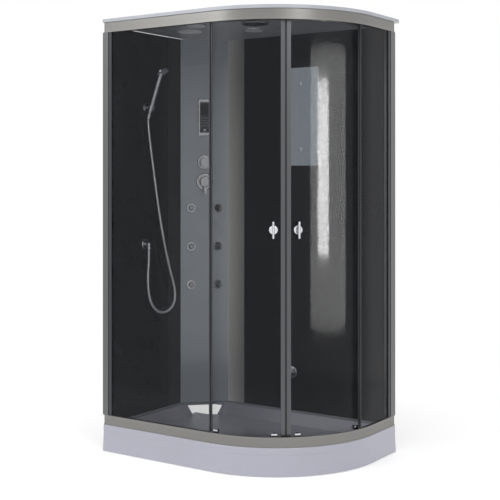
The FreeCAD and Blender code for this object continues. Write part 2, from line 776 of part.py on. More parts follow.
# ---------------------------------------------------------------- frame
def rail_ribs(z0, height):
    """Shallow grooves cut along a rail's face, about the middle of its height."""
    cuts = []
    first = z0 + (height - (RIBS - 1) * RIB_PITCH - RIB_H) / 2
    for i in range(RIBS):
        z = first + i * RIB_PITCH
        cuts.append(ring(RAIL_INSET - PAST, RAIL_INSET + RIB_DEPTH, z, z + RIB_H))
    return Part.makeCompound(cuts)


def make_bottom_rail():
    z0, z1, skin = TRAY_RIM_Z, SILL_TOP, RAIL_SKIN
    web = RAIL_WEB_IN - skin
    slot_out, slot_in = FIXED_INSET - PANE_GAP, FIXED_INSET + GLASS + PANE_GAP
    strips = [
        ring(RAIL_INSET, RAIL_INSET + skin, z0, z1),
        ring(RAIL_INSET, RAIL_WEB_IN, z0, z0 + skin),
        ring(web, RAIL_WEB_IN, z0, TRACK_LOW),
        ring(web, TRACK_IN, TRACK_LOW - skin, TRACK_LOW),
        ring(RAIL_INSET, slot_out, z1 - skin, z1),
        ring(slot_in, RAIL_WEB_IN, TRACK_LOW - skin, TRACK_LOW),
        ring(RAIL_INSET - RAIL_LIP, RAIL_INSET + skin, z0, z0 + RAIL_LIP_H),
    ]
    rail = fused(strips).cut(rail_ribs(z0, SILL_H))
    return front_part(rail, TRACK_IN)


def make_top_rail():
    z0, z1, skin = HEAD_Z, ROOF_Z, RAIL_SKIN
    web = RAIL_WEB_IN - skin
    slot_out, slot_in = FIXED_INSET - PANE_GAP, FIXED_INSET + GLASS + PANE_GAP
    strips = [
        ring(RAIL_INSET, RAIL_INSET + skin, z0, z1),
        ring(RAIL_INSET, RAIL_WEB_IN, z1 - skin, z1),
        ring(web, RAIL_WEB_IN, z0, z1),
        ring(web, TRACK_IN, z0, TRACK_HIGH),
        ring(RAIL_INSET, slot_out, z0, TRACK_HIGH),
        ring(slot_in, RAIL_WEB_IN, z0, TRACK_HIGH),
        ring(RAIL_INSET - RAIL_LIP, RAIL_INSET + skin, z0, z0 + RAIL_LIP_H),
    ]
    rail = fused(strips).cut(rail_ribs(z0, HEAD_H))
    return front_part(rail, TRACK_IN)


def hollow_post(x0, x1, y0, y1, round_corner, grooves):
    """Hollow section with one rounded corner, whose grooves are lined so that it stays one piece."""
    tall = HEAD_Z - SILL_TOP

    def section(inset):
        corners = [
            (x0 + inset, y1 - inset),
            (x1 - inset, y1 - inset),
            (x1 - inset, y0 + inset),
            (x0 + inset, y0 + inset),
        ]
        radii = [POST_EDGE] * 4
        radii[round_corner] = POST_ROUND - inset
        return prism(rounded_wire(corners, radii, SILL_TOP), tall)

    lining, slots = [], []
    s = GROOVE_SKIN
    for gx0, gx1, gy0, gy1 in grooves:
        lining.append(block(gx0 - s, gx1 + s, gy0 - s, gy1 + s, SILL_TOP, HEAD_Z))
        slots.append(block(gx0, gx1, gy0, gy1, SILL_TOP - PAST, HEAD_Z + PAST))
    bore = section(POST_SKIN).cut(Part.makeCompound(lining))
    return section(0.0).cut(bore).cut(Part.makeCompound(slots))


def make_left_post():
    x0, x1 = X_LEFT, X_LEFT + POST_LEFT_W
    y0 = Y_FRONT + RAIL_INSET
    y1 = y0 + POST_LEFT_D
    wall_in = X_LEFT + WALL_IN
    pane = Y_FRONT + FIXED_INSET
    wall_groove = (wall_in - WALL_T - PANE_GAP, wall_in + PANE_GAP, y1 - WALL_BITE - GROOVE_END, y1 + PAST)
    pane_groove = (x1 - PANE_BITE - GROOVE_END, x1 + PAST, pane - PANE_GAP, pane + GLASS + PANE_GAP)
    return hollow_post(x0, x1, y0, y1, 3, [wall_groove, pane_groove])


def make_right_post():
    x1 = X_RIGHT - RAIL_INSET
    x0 = x1 - POST_RIGHT_D
    y0, y1 = Y_BACK - POST_RIGHT_W, Y_BACK
    wall_in = Y_BACK - WALL_IN
    pane = X_RIGHT - FIXED_INSET - GLASS
    wall_groove = (x0 - PAST, x0 + WALL_BITE + GROOVE_END, wall_in - PANE_GAP, wall_in + WALL_T + PANE_GAP)
    pane_groove = (pane - PANE_GAP, pane + GLASS + PANE_GAP, y0 - PAST, y0 + PANE_BITE + GROOVE_END)
    return hollow_post(x0, x1, y0, y1, 1, [wall_groove, pane_groove])


def pane_heights():
    """Lower and upper edge of the fixed panes, inside the two rails."""
    return TRAY_RIM_Z + RAIL_SKIN, ROOF_Z - RAIL_SKIN - PANE_TOP_GAP


def make_left_pane():
    z0, z1 = pane_heights()
    x0 = X_LEFT + POST_LEFT_W - PANE_BITE
    y0 = Y_FRONT + FIXED_INSET
    return block(x0, ARC_X - FIXED_END, y0, y0 + GLASS, z0, z1)


def make_right_pane():
    z0, z1 = pane_heights()
    x1 = X_RIGHT - FIXED_INSET
    y1 = Y_BACK - POST_RIGHT_W + PANE_BITE
    flat = block(x1 - GLASS, x1, ARC_Y, y1, z0, z1)
    bend = arc_plate(FIXED_R - GLASS, FIXED_R, -FIXED_RIGHT_DEG, 0.0, z0, z1)
    return flat.fuse(bend).removeSplitter()


def make_pane_seals():
    """Beads beside the posts, and a fin along the free edge of each fixed pane."""
    z0, z1 = SILL_TOP, HEAD_Z
    gap = PANE_GAP
    spare = (BEAD_T - GLASS) / 2
    far = BEAD_W + PAST
    bead_x = X_LEFT + POST_LEFT_W
    pane_y = Y_FRONT + FIXED_INSET
    left = block(bead_x, bead_x + BEAD_W, pane_y - spare, pane_y + GLASS + spare, z0, z1)
    left = left.cut(block(bead_x - PAST, bead_x + far, pane_y - gap, pane_y + GLASS + gap, z0, z1))
    bead_y = Y_BACK - POST_RIGHT_W
    pane_x = X_RIGHT - FIXED_INSET - GLASS
    right = block(pane_x - spare, pane_x + GLASS + spare, bead_y - BEAD_W, bead_y, z0, z1)
    right = right.cut(block(pane_x - gap, pane_x + GLASS + gap, bead_y - far, bead_y + PAST, z0, z1))
    edge = ARC_X - FIXED_END
    fin = block(edge, edge + FIN_W, pane_y - FIN_OUT, pane_y + GLASS + FIN_IN, z0, z1)
    start = -FIXED_RIGHT_DEG - math.degrees(FIN_W / FIXED_R)
    bent = arc_plate(FIXED_R - GLASS - FIN_IN, FIXED_R + FIN_OUT, start, -FIXED_RIGHT_DEG, z0, z1)
    return Part.makeCompound([left, right, fin, bent])


def make_screws():
    """Pan head screws that hold the posts, beside the two walls."""
    screws = []
    y_face = Y_FRONT + RAIL_INSET + POST_LEFT_D
    x_face = X_RIGHT - RAIL_INSET - POST_RIGHT_D
    left_x = X_LEFT + WALL_IN - WALL_T - SCREW_WALL_GAP
    right_y = Y_BACK - POST_RIGHT_W + SCREW_EDGE
    for share in SCREW_SHARES:
        z = SILL_TOP + (HEAD_Z - SILL_TOP) * share
        head = disc(SCREW_R, 0.0, SCREW_H)
        screws.append(placed(head, 0.0, left_x, y_face, z))
        screws.append(placed(head, 90.0, x_face, right_y, z))
    return Part.makeCompound(screws)


# ---------------------------------------------------------------- walls and column
def make_left_wall():
    x0, x1 = X_LEFT + WALL_IN - WALL_T, X_LEFT + WALL_IN
    post = Y_FRONT + RAIL_INSET + POST_LEFT_D
    y0 = post - WALL_BITE
    wall = block(x0, x1, y0, Y_BACK - WALL_START, TRAY_RIM_Z, WALL_TOP)
    sides = (x0 - PAST, x1 + PAST, y0 - PAST, post + NOTCH_GAP)
    wall = wall.cut(block(*sides, 0, SILL_TOP + PANE_GAP))
    wall = wall.cut(block(*sides, HEAD_Z - PANE_GAP, HEIGHT))
    hole = disc(OUTLET_SHANK_R + HOLE_GAP, -PAST, WALL_T + PAST, 0.0, OUTLET_Z)
    return wall.cut(on_left_wall(hole, OUTLET_Y))


def make_back_wall():
    y0, y1 = Y_BACK - WALL_IN, Y_BACK - WALL_IN + WALL_T
    post = X_RIGHT - RAIL_INSET - POST_RIGHT_D
    x1 = post + WALL_BITE
    wall = block(X_LEFT + WALL_START, x1, y0, y1, TRAY_RIM_Z, WALL_TOP)
    sides = (post - NOTCH_GAP, x1 + PAST, y0 - PAST, y1 + PAST)
    wall = wall.cut(block(*sides, 0, SILL_TOP + PANE_GAP))
    wall = wall.cut(block(*sides, HEAD_Z - PANE_GAP, HEIGHT))
    hole = disc(STEAM_NECK_R + HOLE_GAP, -PAST, WALL_T + PAST, 0.0, STEAM_Z)
    wall = wall.cut(on_back_wall(hole, STEAM_X))
    for z in mirror_screw_heights():
        hole = disc(MIRROR_SHANK_R + HOLE_GAP, -PAST, WALL_T + PAST, 0.0, z)
        wall = wall.cut(on_back_wall(hole, MIRROR_X))
    return wall


def column_profile(step):
    """Corners of the column's room face, moved towards the corner by a step."""
    face = COLUMN_FACE - step
    bend = face + FACET + step * (2.0 - math.sqrt(2.0))
    return [(face, COLUMN_END), (face, bend), (bend, face), (COLUMN_END, face)]


def make_column():
    loop = column_profile(0.0) + column_profile(COLUMN_T)[::-1]
    points = [(X_LEFT + x, Y_BACK - y) for x, y in loop]
    outer = COLUMN_ROUND + COLUMN_T
    radii = [COLUMN_EDGE, COLUMN_ROUND, COLUMN_ROUND, COLUMN_EDGE]
    radii += [COLUMN_EDGE, outer, outer, COLUMN_EDGE]
    column = prism(rounded_wire(points, radii, TRAY_RIM_Z), WALL_TOP - TRAY_RIM_Z)
    y0, y1 = -PAST, COLUMN_T + PAST
    holes = [disc(STEM_R + STEM_ROOM, y0, y1, 0.0, z) for z in (DIVERTER_Z, MIXER_Z)]
    holes += [disc(JET_NECK_R + JET_GAP, y0, y1, x, z) for x, z in jet_places()]
    w, h = BOARD_W / 2 + BOARD_ROOM, BOARD_H / 2 + BOARD_ROOM
    holes.append(block(-w, w, y0, y1, PANEL_Z - h, PANEL_Z + h))
    return column.cut(Part.makeCompound([on_column(hole) for hole in holes]))


def mirror_screw_heights():
    reach = MIRROR_H / 2 - MIRROR_SCREW_IN
    return MIRROR_Z - reach, MIRROR_Z + reach


def make_mirror():
    flat = prism(rectangle(MIRROR_W, MIRROR_H, MIRROR_CORNER_R, 0.0), MIRROR_T)
    pane = stood(flat, -MIRROR_OFF, MIRROR_Z)
    for z in mirror_screw_heights():
        pane = pane.cut(disc(MIRROR_SHANK_R + HOLE_GAP, 0.0, -MIRROR_OFF - MIRROR_T - PAST, 0.0, z))
    return on_back_wall(pane, MIRROR_X)


def make_mirror_screws():
    screws = []
    face = -(MIRROR_OFF + MIRROR_T)
    for z in mirror_screw_heights():
        cap = domed(MIRROR_CAP_R, face, face - MIRROR_CAP_T, 0.0, z, MIRROR_CAP_ROUND)
        shank = disc(MIRROR_SHANK_R, WALL_T, face, 0.0, z)
        spacer = disc(MIRROR_SPACER_R, 0.0, -MIRROR_OFF, 0.0, z)
        screws.append(on_back_wall(fused([cap, shank, spacer]), MIRROR_X))
    return Part.makeCompound(screws)


# ---------------------------------------------------------------- roof
def ceiling_holes():
    """Openings in the soffit: centre, radius."""
    return (
        (plan(RAIN_X, RAIN_Y, SOFFIT_Z), RAIN_NECK_R + CEILING_GAP),
        (plan(LAMP_X, LAMP_Y, SOFFIT_Z), LAMP_R - CEILING_FLANGE + CEILING_GAP),
        (plan(FAN_X, FAN_Y, SOFFIT_Z), FAN_R + CEILING_GAP),
        (plan(SPEAKER_X, SPEAKER_Y, SOFFIT_Z), SPEAKER_R - CEILING_FLANGE + CEILING_GAP),
        (riser_spot(), BIG_PIPE_R + CEILING_GAP),
    )


def make_roof():
    skin = ROOF_SKIN
    plate = prism(outline(0.0, ROOF_Z, ROOF_OVERHANG), ROOF_EDGE_H)
    plate = plate.cut(prism(outline(skin, ROOF_Z + skin, ROOF_OVERHANG), ROOF_EDGE_H))
    dish = ROOF_DISH_INSET
    outer = prism(outline(dish, SOFFIT_Z, WALL_IN), ROOF_Z + skin - SOFFIT_Z)
    inner = prism(outline(dish + skin, SOFFIT_Z + skin, WALL_IN), HEIGHT)
    roof = plate.fuse(outer).cut(inner).removeSplitter()
    for centre, radius in ceiling_holes():
        low = Vector(centre.x, centre.y, SOFFIT_Z - PAST)
        roof = roof.cut(Part.makeCylinder(radius, skin + 2 * PAST, low))
    return roof


def make_rain_head():
    top = plan(RAIN_X, RAIN_Y, SOFFIT_Z)
    low = top - UP * CEILING_T
    face = Part.makeCylinder(RAIN_R, CEILING_T - RAIN_COLLAR_H, low)
    face = rounded_low(face, low.z, RAIN_ROUND)
    collar = Part.makeCylinder(RAIN_COLLAR_R, RAIN_COLLAR_H, top - UP * RAIN_COLLAR_H)
    neck = Part.makeCylinder(RAIN_NECK_R, ROOF_SKIN + RAIN_NECK_UP, top)
    head = fused([face, collar, neck])
    dimples = []
    for count, radius in RAIN_ROWS:
        for i in range(count):
            turn = 2 * math.pi * i / count
            spot = low + Vector(math.cos(turn) * radius, math.sin(turn) * radius, -PAST)
            dimples.append(Part.makeCylinder(DIMPLE_R, DIMPLE_DEPTH + PAST, spot))
    return head.cut(Part.makeCompound(dimples))


def make_ceiling_light():
    top = plan(LAMP_X, LAMP_Y, SOFFIT_Z)
    low = top - UP * CEILING_T
    lens = rounded_low(Part.makeCylinder(LAMP_R, CEILING_T, low), low.z, LAMP_ROUND)
    housing = Part.makeCylinder(LAMP_R - CEILING_FLANGE, ROOF_SKIN + LAMP_BODY_H, top)
    return fused([lens, housing])


def make_speaker():
    top = plan(SPEAKER_X, SPEAKER_Y, SOFFIT_Z)
    low = SOFFIT_Z - SPEAKER_T
    face = Part.makeCylinder(SPEAKER_R, SPEAKER_T, top - UP * SPEAKER_T)
    body = Part.makeCylinder(SPEAKER_R - CEILING_FLANGE, ROOF_SKIN + SPEAKER_BODY_H, top)
    slots = []
    for i in range(SPEAKER_SLOTS):
        y = (i - (SPEAKER_SLOTS - 1) / 2) * SPEAKER_PITCH
        half = math.sqrt((SPEAKER_R - SPEAKER_RIM) ** 2 - y ** 2)
        y0, y1 = top.y + y - SPEAKER_SLOT_W / 2, top.y + y + SPEAKER_SLOT_W / 2
        slots.append(block(top.x - half, top.x + half, y0, y1, low - PAST, low + SPEAKER_SLOT_DEPTH))
    return fused([face, body]).cut(Part.makeCompound(slots))


def make_fan_housing():
    """Short duct in the soffit with a spider grille that carries the fan's axle."""
    top = plan(FAN_X, FAN_Y, SOFFIT_Z)
    low = top - UP * FAN_FLANGE_T
    inner = FAN_R - FAN_SKIN
    duct_h = ROOF_SKIN + FAN_DUCT_H
    tube = Part.makeCylinder(FAN_R, duct_h, top).cut(Part.makeCylinder(inner, duct_h, top))
    flange = Part.makeCylinder(FAN_R + FAN_FLANGE_W, FAN_FLANGE_T, low)
    flange = flange.cut(Part.makeCylinder(inner, FAN_FLANGE_T, low))
    pieces = [tube, flange]
    for i in range(HOOPS):
        radius = HOOP_R0 + i * HOOP_PITCH
        hoop = Part.makeCylinder(radius + HOOP_W / 2, GRILLE_T, low)
        pieces.append(hoop.cut(Part.makeCylinder(radius - HOOP_W / 2, GRILLE_T, low)))
    reach = inner + FAN_SKIN / 2
    for i in range(GRILLE_ARMS):
        arm = block(-reach, reach, -GRILLE_ARM_W / 2, GRILLE_ARM_W / 2, 0.0, GRILLE_T)
        pieces.append(placed(arm, 180.0 * i / GRILLE_ARMS, top.x, top.y, low.z))
    pieces.append(Part.makeCylinder(GRILLE_HUB_R, FAN_FLANGE_T + PAST, low))
    pieces.append(Part.makeCylinder(AXLE_R, FAN_AXLE_L, top))
    return fused(pieces)


def make_fan_impeller():
    low = plan(FAN_X, FAN_Y, SOFFIT_Z + IMPELLER_UP)
    reach = FAN_R - FAN_SKIN - BLADE_TIP_GAP
    pieces = [Part.makeCylinder(IMPELLER_HUB_R, IMPELLER_H, low)]
    for i in range(BLADES):
        half, wide = BLADE_T / 2, IMPELLER_H / 2
        blade = block(IMPELLER_HUB_R - BLADE_ROOT, reach, -half, half, -wide, wide)
        blade.rotate(Vector(0, 0, 0), Vector(1, 0, 0), BLADE_DEG)
        pieces.append(placed(blade, 360.0 * i / BLADES, low.x, low.y, low.z + wide))
    bore = Part.makeCylinder(AXLE_R + WHEEL_RUN_GAP, IMPELLER_H + 2 * PAST, low - UP * PAST)
    return fused(pieces).cut(bore)


# ---------------------------------------------------------------- column fittings
def make_bezel():
    frame = prism(rectangle(PANEL_W, PANEL_H, PANEL_CORNER_R, 0.0), PANEL_T)
    frame = frame.makeFillet(PANEL_ROUND, edges_at(frame, PANEL_T))
    wide, tall = SCREEN_W + 2 * SCREEN_GAP, SCREEN_H + 2 * SCREEN_GAP
    window = rectangle(wide, tall, SCREEN_CORNER_R + SCREEN_GAP, PANEL_T - SCREEN_T)
    frame = stood(frame.cut(prism(window, SCREEN_T)), 0.0, PANEL_Z)
    w, h = BOARD_W / 2 + BOARD_GAP, BOARD_H / 2 + BOARD_GAP
    return on_column(frame.cut(block(-w, w, -PANEL_T, PAST, PANEL_Z - h, PANEL_Z + h)))


def key_place():
    """Middle of the push key on the panel, in the column's own frame."""
    return PANEL_Z - SCREEN_H / 2 + KEY_UP


def make_display():
    back = -(PANEL_T - SCREEN_T)
    thick = SCREEN_T - SCREEN_SUNK
    pane = stood(prism(rectangle(SCREEN_W, SCREEN_H, SCREEN_CORNER_R, 0.0), thick), back, PANEL_Z)
    w, h = BOARD_W / 2, BOARD_H / 2
    board = block(-w, w, back, BOARD_BACK, PANEL_Z - h, PANEL_Z + h)
    z = key_place()
    w, h = KEY_W / 2 + KEY_GAP, KEY_H / 2 + KEY_GAP
    hole = block(-w, w, -PANEL_T, back - KEY_FLOOR, z - h, z + h)
    return on_column(fused([pane, board]).cut(hole))


def make_power_key():
    z = key_place()
    y0 = -(PANEL_T - SCREEN_SUNK) - KEY_TRAVEL
    y1 = -(PANEL_T - SCREEN_T) - KEY_FLOOR - KEY_TRAVEL - KEY_STOP
    key = block(-KEY_W / 2, KEY_W / 2, y0, y1, z - KEY_H / 2, z + KEY_H / 2)
    edges = [e for e in key.Edges if abs(e.BoundBox.YMax - y0) < TINY]
    return on_column(key.makeFillet(KEY_ROUND, edges))


def make_escutcheons():
    """Domed roses under the two knobs."""
    roses = []
    for radius, z in ((DIVERTER_ROSE_R, DIVERTER_Z), (MIXER_ROSE_R, MIXER_Z)):
        rose = domed(radius, 0.0, -ROSE_T, 0.0, z, ROSE_ROUND)
        roses.append(on_column(rose.cut(disc(STEM_R + ROSE_ROOM, PAST, -ROSE_T - PAST, 0.0, z))))
    return Part.makeCompound(roses)


def make_valve_body():
    """Mixing valve and diverter in one block behind the column, with both stems."""
    w = VALVE_W / 2
    parts = [block(-w, w, VALVE_BACK, VALVE_BACK + VALVE_D, VALVE_LOW_Z, VALVE_HIGH_Z)]
    root = VALVE_BACK + JOIN
    for z in (DIVERTER_Z, MIXER_Z):
        parts.append(disc(STEM_R, root, -ROSE_T - STEM_IN, 0.0, z))
        parts.append(disc(VALVE_BOSS_R, root, COLUMN_T, 0.0, z))
    return on_column(fused(parts))


def stem_bore(z):
    """Room for a stem in its knob."""
    return disc(STEM_R + STEM_GAP, PAST, -ROSE_T - STEM_IN - KNOB_LIFT, 0.0, z)


def make_diverter_knob():
    y0 = -ROSE_T - KNOB_LIFT
    y1 = y0 - KNOB_L
    knob = domed(DIVERTER_KNOB_R, y0, y1, 0.0, DIVERTER_Z, KNOB_ROUND)
    grips = []
    for i in range(GRIPS):
        turn = math.pi / 2 + 2 * math.pi * i / GRIPS
        reach = DIVERTER_KNOB_R + GRIP_OUT
        x, z = math.cos(turn) * reach, DIVERTER_Z + math.sin(turn) * reach
        grips.append(disc(GRIP_R, y0 - KNOB_SKIRT, y1 - PAST, x, z))
    return on_column(knob.cut(Part.makeCompound(grips)).cut(stem_bore(DIVERTER_Z)))


def make_mixer_lever():
    y0 = -ROSE_T - KNOB_LIFT
    y1 = y0 - KNOB_L
    hub = domed(MIXER_HUB_R, y0, y1, 0.0, MIXER_Z, HUB_ROUND)
    low = MIXER_Z - MIXER_HUB_R
    top, end = low + LEVER_IN, low - LEVER_L
    root, tip = LEVER_W / 2, LEVER_TIP_W / 2
    corners = [(-root, top), (root, top), (tip, end), (-tip, end)]
    radii = [LEAST_R, LEAST_R, LEVER_ROUND, LEVER_ROUND]
    blade = prism(rounded_wire(corners, radii, 0.0), LEVER_T)
    blade = stood(blade, y1 + LEVER_SUNK + LEVER_T, 0.0)
    return on_column(fused([hub, blade]).cut(stem_bore(MIXER_Z)))


def jet_places():
    """Jets in order, left then right, from the top row down."""
    return [(side * JET_X, z) for z in JET_Z for side in (-1, 1)]


def make_jet_roses():
    roses = []
    for x, z in jet_places():
        rose = domed(JET_ROSE_R, 0.0, -JET_ROSE_T, x, z, JET_ROUND)
        rose = fused([rose, disc(JET_NECK_R, JET_NECK_L, 0.0, x, z)])
        rose = rose.cut(disc(JET_BALL_R + JET_GAP, JET_SEAT, -JET_ROSE_T - PAST, x, z))
        bore = disc(PIPE_R - PIPE_WALL, JET_NECK_L + PAST, JET_SEAT - PAST, x, z)
        roses.append(on_column(rose.cut(bore)))
    return Part.makeCompound(roses)


def make_nozzle(x, z):
    """Ball with a short spout that tilts in its rose."""
    ball = Part.makeSphere(JET_BALL_R, Vector(x, -JET_BALL_OUT, z))
    flat = JET_SEAT - JET_STOP
    ball = ball.common(disc(JET_BALL_R + PAST, flat, -flat, x, z))
    spout = disc(JET_SPOUT_R, -flat + JOIN, -JET_SPOUT_END, x, z)
    bore = disc(JET_BORE_R, flat + PAST, -JET_SPOUT_END - PAST, x, z)
    return on_column(fused([ball, spout]).cut(bore))


def riser_spot():
    """Foot of the pipe that climbs behind the column to the rain head."""
    return column_point(0.0, VALVE_BACK + VALVE_D / 2, VALVE_HIGH_Z)


def make_jet_manifold():
    """Two upright pipes behind the jets with a branch to each, and a bridge."""
    back = MANIFOLD_BACK
    low, high = JET_Z[-1] - MANIFOLD_LOW, JET_Z[0] + MANIFOLD_HIGH
    bridge = high - BIG_PIPE_R
    parts = []
    for x in (-JET_X, JET_X):
        parts.append(rod(BIG_PIPE_R, Vector(x, back, low), Vector(x, back, high)))
        for z in JET_Z:
            parts.append(disc(PIPE_R, back, JET_NECK_L, x, z))
    parts.append(rod(BIG_PIPE_R, Vector(-JET_X, back, bridge), Vector(JET_X, back, bridge)))
    parts.append(rod(BIG_PIPE_R, Vector(0.0, back, bridge), Vector(0.0, back, VALVE_LOW_Z)))
    return on_column(fused(parts))


def inlet_pipe(side):
    """Supply from an inlet's thread at the back up into the valve block."""
    turn = column_point(side * INLET_X, INLET_BACK, VALVE_LOW_Z - PIPE_TURN)
    top = column_point(side * (VALVE_W / 2 - BIG_PIPE_R), VALVE_BACK + VALVE_D - FEED_IN, VALVE_LOW_Z)
    step = top - UP * (PIPE_TURN / 2)
    foot = Vector(turn.x, turn.y, INLET_Z)
    end = Vector(turn.x, Y_BACK + ROOF_OVERHANG - INLET_END - INLET_L, INLET_Z)
    nipple = rod(INLET_R, end, end + Vector(0, INLET_L, 0))
    return pipe(BIG_PIPE_R, [top, step, turn, foot, end], [nipple])


def rain_pipe():
    """Riser behind the column and pipe over the ceiling to the rain head."""
    rise = riser_spot()
    neck_z = SOFFIT_Z + ROOF_SKIN + RAIN_NECK_UP
    attic = neck_z + PIPE_R + ATTIC_CLEAR
    rain = plan(RAIN_X, RAIN_Y, attic)
    drop = rod(RAIN_DROP_R, Vector(rain.x, rain.y, neck_z), rain + UP * (PIPE_R + ATTIC_CLEAR))
    return pipe(PIPE_R, [rise, Vector(rise.x, rise.y, attic), rain], [drop])


def outlet_pipe():
    """Feed from the valve block to the outlet of the hand shower."""
    level = MIXER_Z + OUTLET_FEED_UP
    middle = VALVE_BACK + VALVE_D / 2
    start = column_point(-VALVE_W / 2, middle, level)
    clear = column_point(-VALVE_W / 2 - OUTLET_FEED_OUT, middle, level)
    behind = X_LEFT + PIPE_IN
    corner = Vector(behind, clear.y, level)
    low = Vector(behind, clear.y, OUTLET_Z)
    under = plan(PIPE_IN, OUTLET_Y, OUTLET_Z)
    wall = Vector(X_LEFT + WALL_IN - WALL_T, under.y, OUTLET_Z)
    return pipe(PIPE_R, [start, clear, corner, low, under, wall])


def steam_pipe():
    """Steam from the generator to its outlet on the back wall."""
    start = plan(STEAM_GAP + STEAM_W, PIPE_IN, STEAM_Z)
    behind = plan(STEAM_X, PIPE_IN, STEAM_Z)
    return pipe(PIPE_R, [start, behind, plan(STEAM_X, WALL_IN - WALL_T, STEAM_Z)])


def make_supply_pipes():
    return Part.makeCompound([inlet_pipe(-1), inlet_pipe(1), rain_pipe(), outlet_pipe(), steam_pipe()])


def make_steam_generator():
    x0, y1 = X_LEFT + STEAM_GAP, Y_BACK - STEAM_GAP
    case = block(x0, x0 + STEAM_W, y1 - STEAM_W, y1, TRAY_RIM_Z, TRAY_RIM_Z + STEAM_H)
    uprights = [e for e in case.Edges if abs(e.BoundBox.ZLength - STEAM_H) < TINY]
    return case.makeFillet(STEAM_ROUND, uprights)


def make_steam_outlet():
    """Steam nozzle low on the back wall, under a small hood."""
    rose = domed(STEAM_R, 0.0, -STEAM_ROSE_T, 0.0, STEAM_Z, FITTING_ROUND)
    neck = disc(STEAM_NECK_R, WALL_T, 0.0, 0.0, STEAM_Z)
    cap = -STEAM_ROSE_T - HOOD_L
    inside = cap + HOOD_WALL
    hood = disc(HOOD_R, -STEAM_ROSE_T, cap, 0.0, STEAM_Z)
    hood = hood.cut(disc(HOOD_R - HOOD_WALL, -STEAM_ROSE_T, inside, 0.0, STEAM_Z))
    below = HOOD_R + PAST
    mouth = block(-below, below, inside, inside + HOOD_MOUTH, STEAM_Z - below, STEAM_Z - HOOD_MOUTH_LOW)
    body = fused([rose, neck, hood.cut(mouth)])
    bore = disc(STEAM_BORE_R, WALL_T + PAST, -STEAM_ROSE_T - PAST, 0.0, STEAM_Z)
    return on_back_wall(body.cut(bore), STEAM_X)


# ---------------------------------------------------------------- hand shower
def lean(shape):
    """From the handset's frame, its axis along +Z and its face to -Y, to the bracket."""
    moved = shape.copy()
    moved.rotate(Vector(0, 0, 0), Vector(1, 0, 0), HANDSET_LEAN)
    moved.translate(Vector(0, -BRACKET_OUT, BRACKET_Z))
    return on_left_wall(moved, BRACKET_Y)


def cone_r(z, spare):
    """Radius of the handset's seat, or of its socket with spare room."""
    return HANDLE_R0 + CONE_STEP + (z - CONE_LOW) * CONE_SLOPE + spare


def make_bracket():
    """Wall rose and arm with a tapered, slotted socket for the handset."""
    rose = domed(BRACKET_ROSE_R, 0.0, -BRACKET_ROSE_T, 0.0, BRACKET_Z, FITTING_ROUND)
    arm = disc(ARM_R, -BRACKET_ROSE_T / 2, -BRACKET_OUT + cone_r(0.0, CONE_GAP), 0.0, BRACKET_Z)
    cup = Part.makeCylinder(BRACKET_CUP_R, CONE_HIGH - CONE_LOW, Vector(0, 0, CONE_LOW))
    low, high = CONE_LOW - PAST, CONE_HIGH + PAST
    bore = Part.makeCone(cone_r(low, CONE_GAP), cone_r(high, CONE_GAP), high - low, Vector(0, 0, low))
    half = BRACKET_MOUTH / 2
    mouth = block(-half, half, -BRACKET_CUP_R - PAST, 0.0, low, high)
    body = on_left_wall(fused([rose, arm]), BRACKET_Y).fuse(lean(cup)).removeSplitter()
    return body.cut(lean(bore)).cut(lean(mouth))


def make_handset():
    """Tapered handle that seats in the bracket, curving into a round head."""
    tail = Part.makeCylinder(HANDLE_R0, CONE_LOW + HANDSET_TAIL, Vector(0, 0, -HANDSET_TAIL))
    seat_r = [cone_r(CONE_LOW, 0.0), cone_r(CONE_HIGH, 0.0)]
    seat = Part.makeCone(seat_r[0], seat_r[1], CONE_HIGH - CONE_LOW, Vector(0, 0, CONE_LOW))
    grip = Part.makeCone(seat_r[1], HANDLE_R1, HANDSET_NECK - CONE_HIGH, Vector(0, 0, CONE_HIGH))
    knuckle = Vector(0, 0, HANDSET_NECK)
    ball = Part.makeSphere(HANDLE_R1, knuckle)
    tilt = math.radians(HEAD_TILT)
    face_dir = Vector(0, -math.cos(tilt), -math.sin(tilt))
    back = Vector(0, -HEAD_OUT, HANDSET_REACH) - face_dir * (HEAD_T / 2)
    reach = back - knuckle
    neck = Part.makeCone(HANDLE_R1, NECK_R, reach.Length, knuckle, reach)
    dome = Part.makeSphere(NECK_R, back)
    bell = Part.makeCone(BELL_R, HEAD_R, HEAD_T - HEAD_RIM, back, face_dir)
    face = Part.makeCylinder(HEAD_R, HEAD_RIM, back + face_dir * (HEAD_T - HEAD_RIM), face_dir)
    return lean(fused([tail, seat, grip, ball, neck, dome, bell, face]))


def make_wall_outlet():
    """Elbow on the left wall that feeds the hose from above."""
    rose = domed(OUTLET_ROSE_R, 0.0, -OUTLET_ROSE_T, 0.0, OUTLET_Z, FITTING_ROUND)
    shank = disc(OUTLET_SHANK_R, WALL_T, 0.0, 0.0, OUTLET_Z)
    arm = disc(ARM_R, -OUTLET_ROSE_T / 2, -OUTLET_OUT, 0.0, OUTLET_Z)
    bend = Vector(0, -OUTLET_OUT, OUTLET_Z)
    end = bend - UP * OUTLET_DROP
    knee = Part.makeSphere(ARM_R, bend)
    nut = rod(HOSE_NUT_R, end, end + UP * HOSE_NUT_L)
    return on_left_wall(fused([rose, shank, arm, knee, rod(ARM_R, bend, end), nut]), OUTLET_Y)


def hose_points():
    """Route of the hose, from the handset's tail to the wall outlet."""
    tail = lean(Part.Vertex(0, 0, -HANDSET_TAIL)).Point
    ahead = lean(Part.Vertex(0, 0, -HANDSET_TAIL - HOSE_START)).Point
    outlet = on_left_wall(Part.Vertex(0, -OUTLET_OUT, OUTLET_Z - OUTLET_DROP), OUTLET_Y).Point
    middle = [plan(x, y, BRACKET_Z - drop) for x, y, drop in HOSE_ROUTE]
    return [tail, ahead] + middle + [outlet - UP * HOSE_FINISH, outlet]


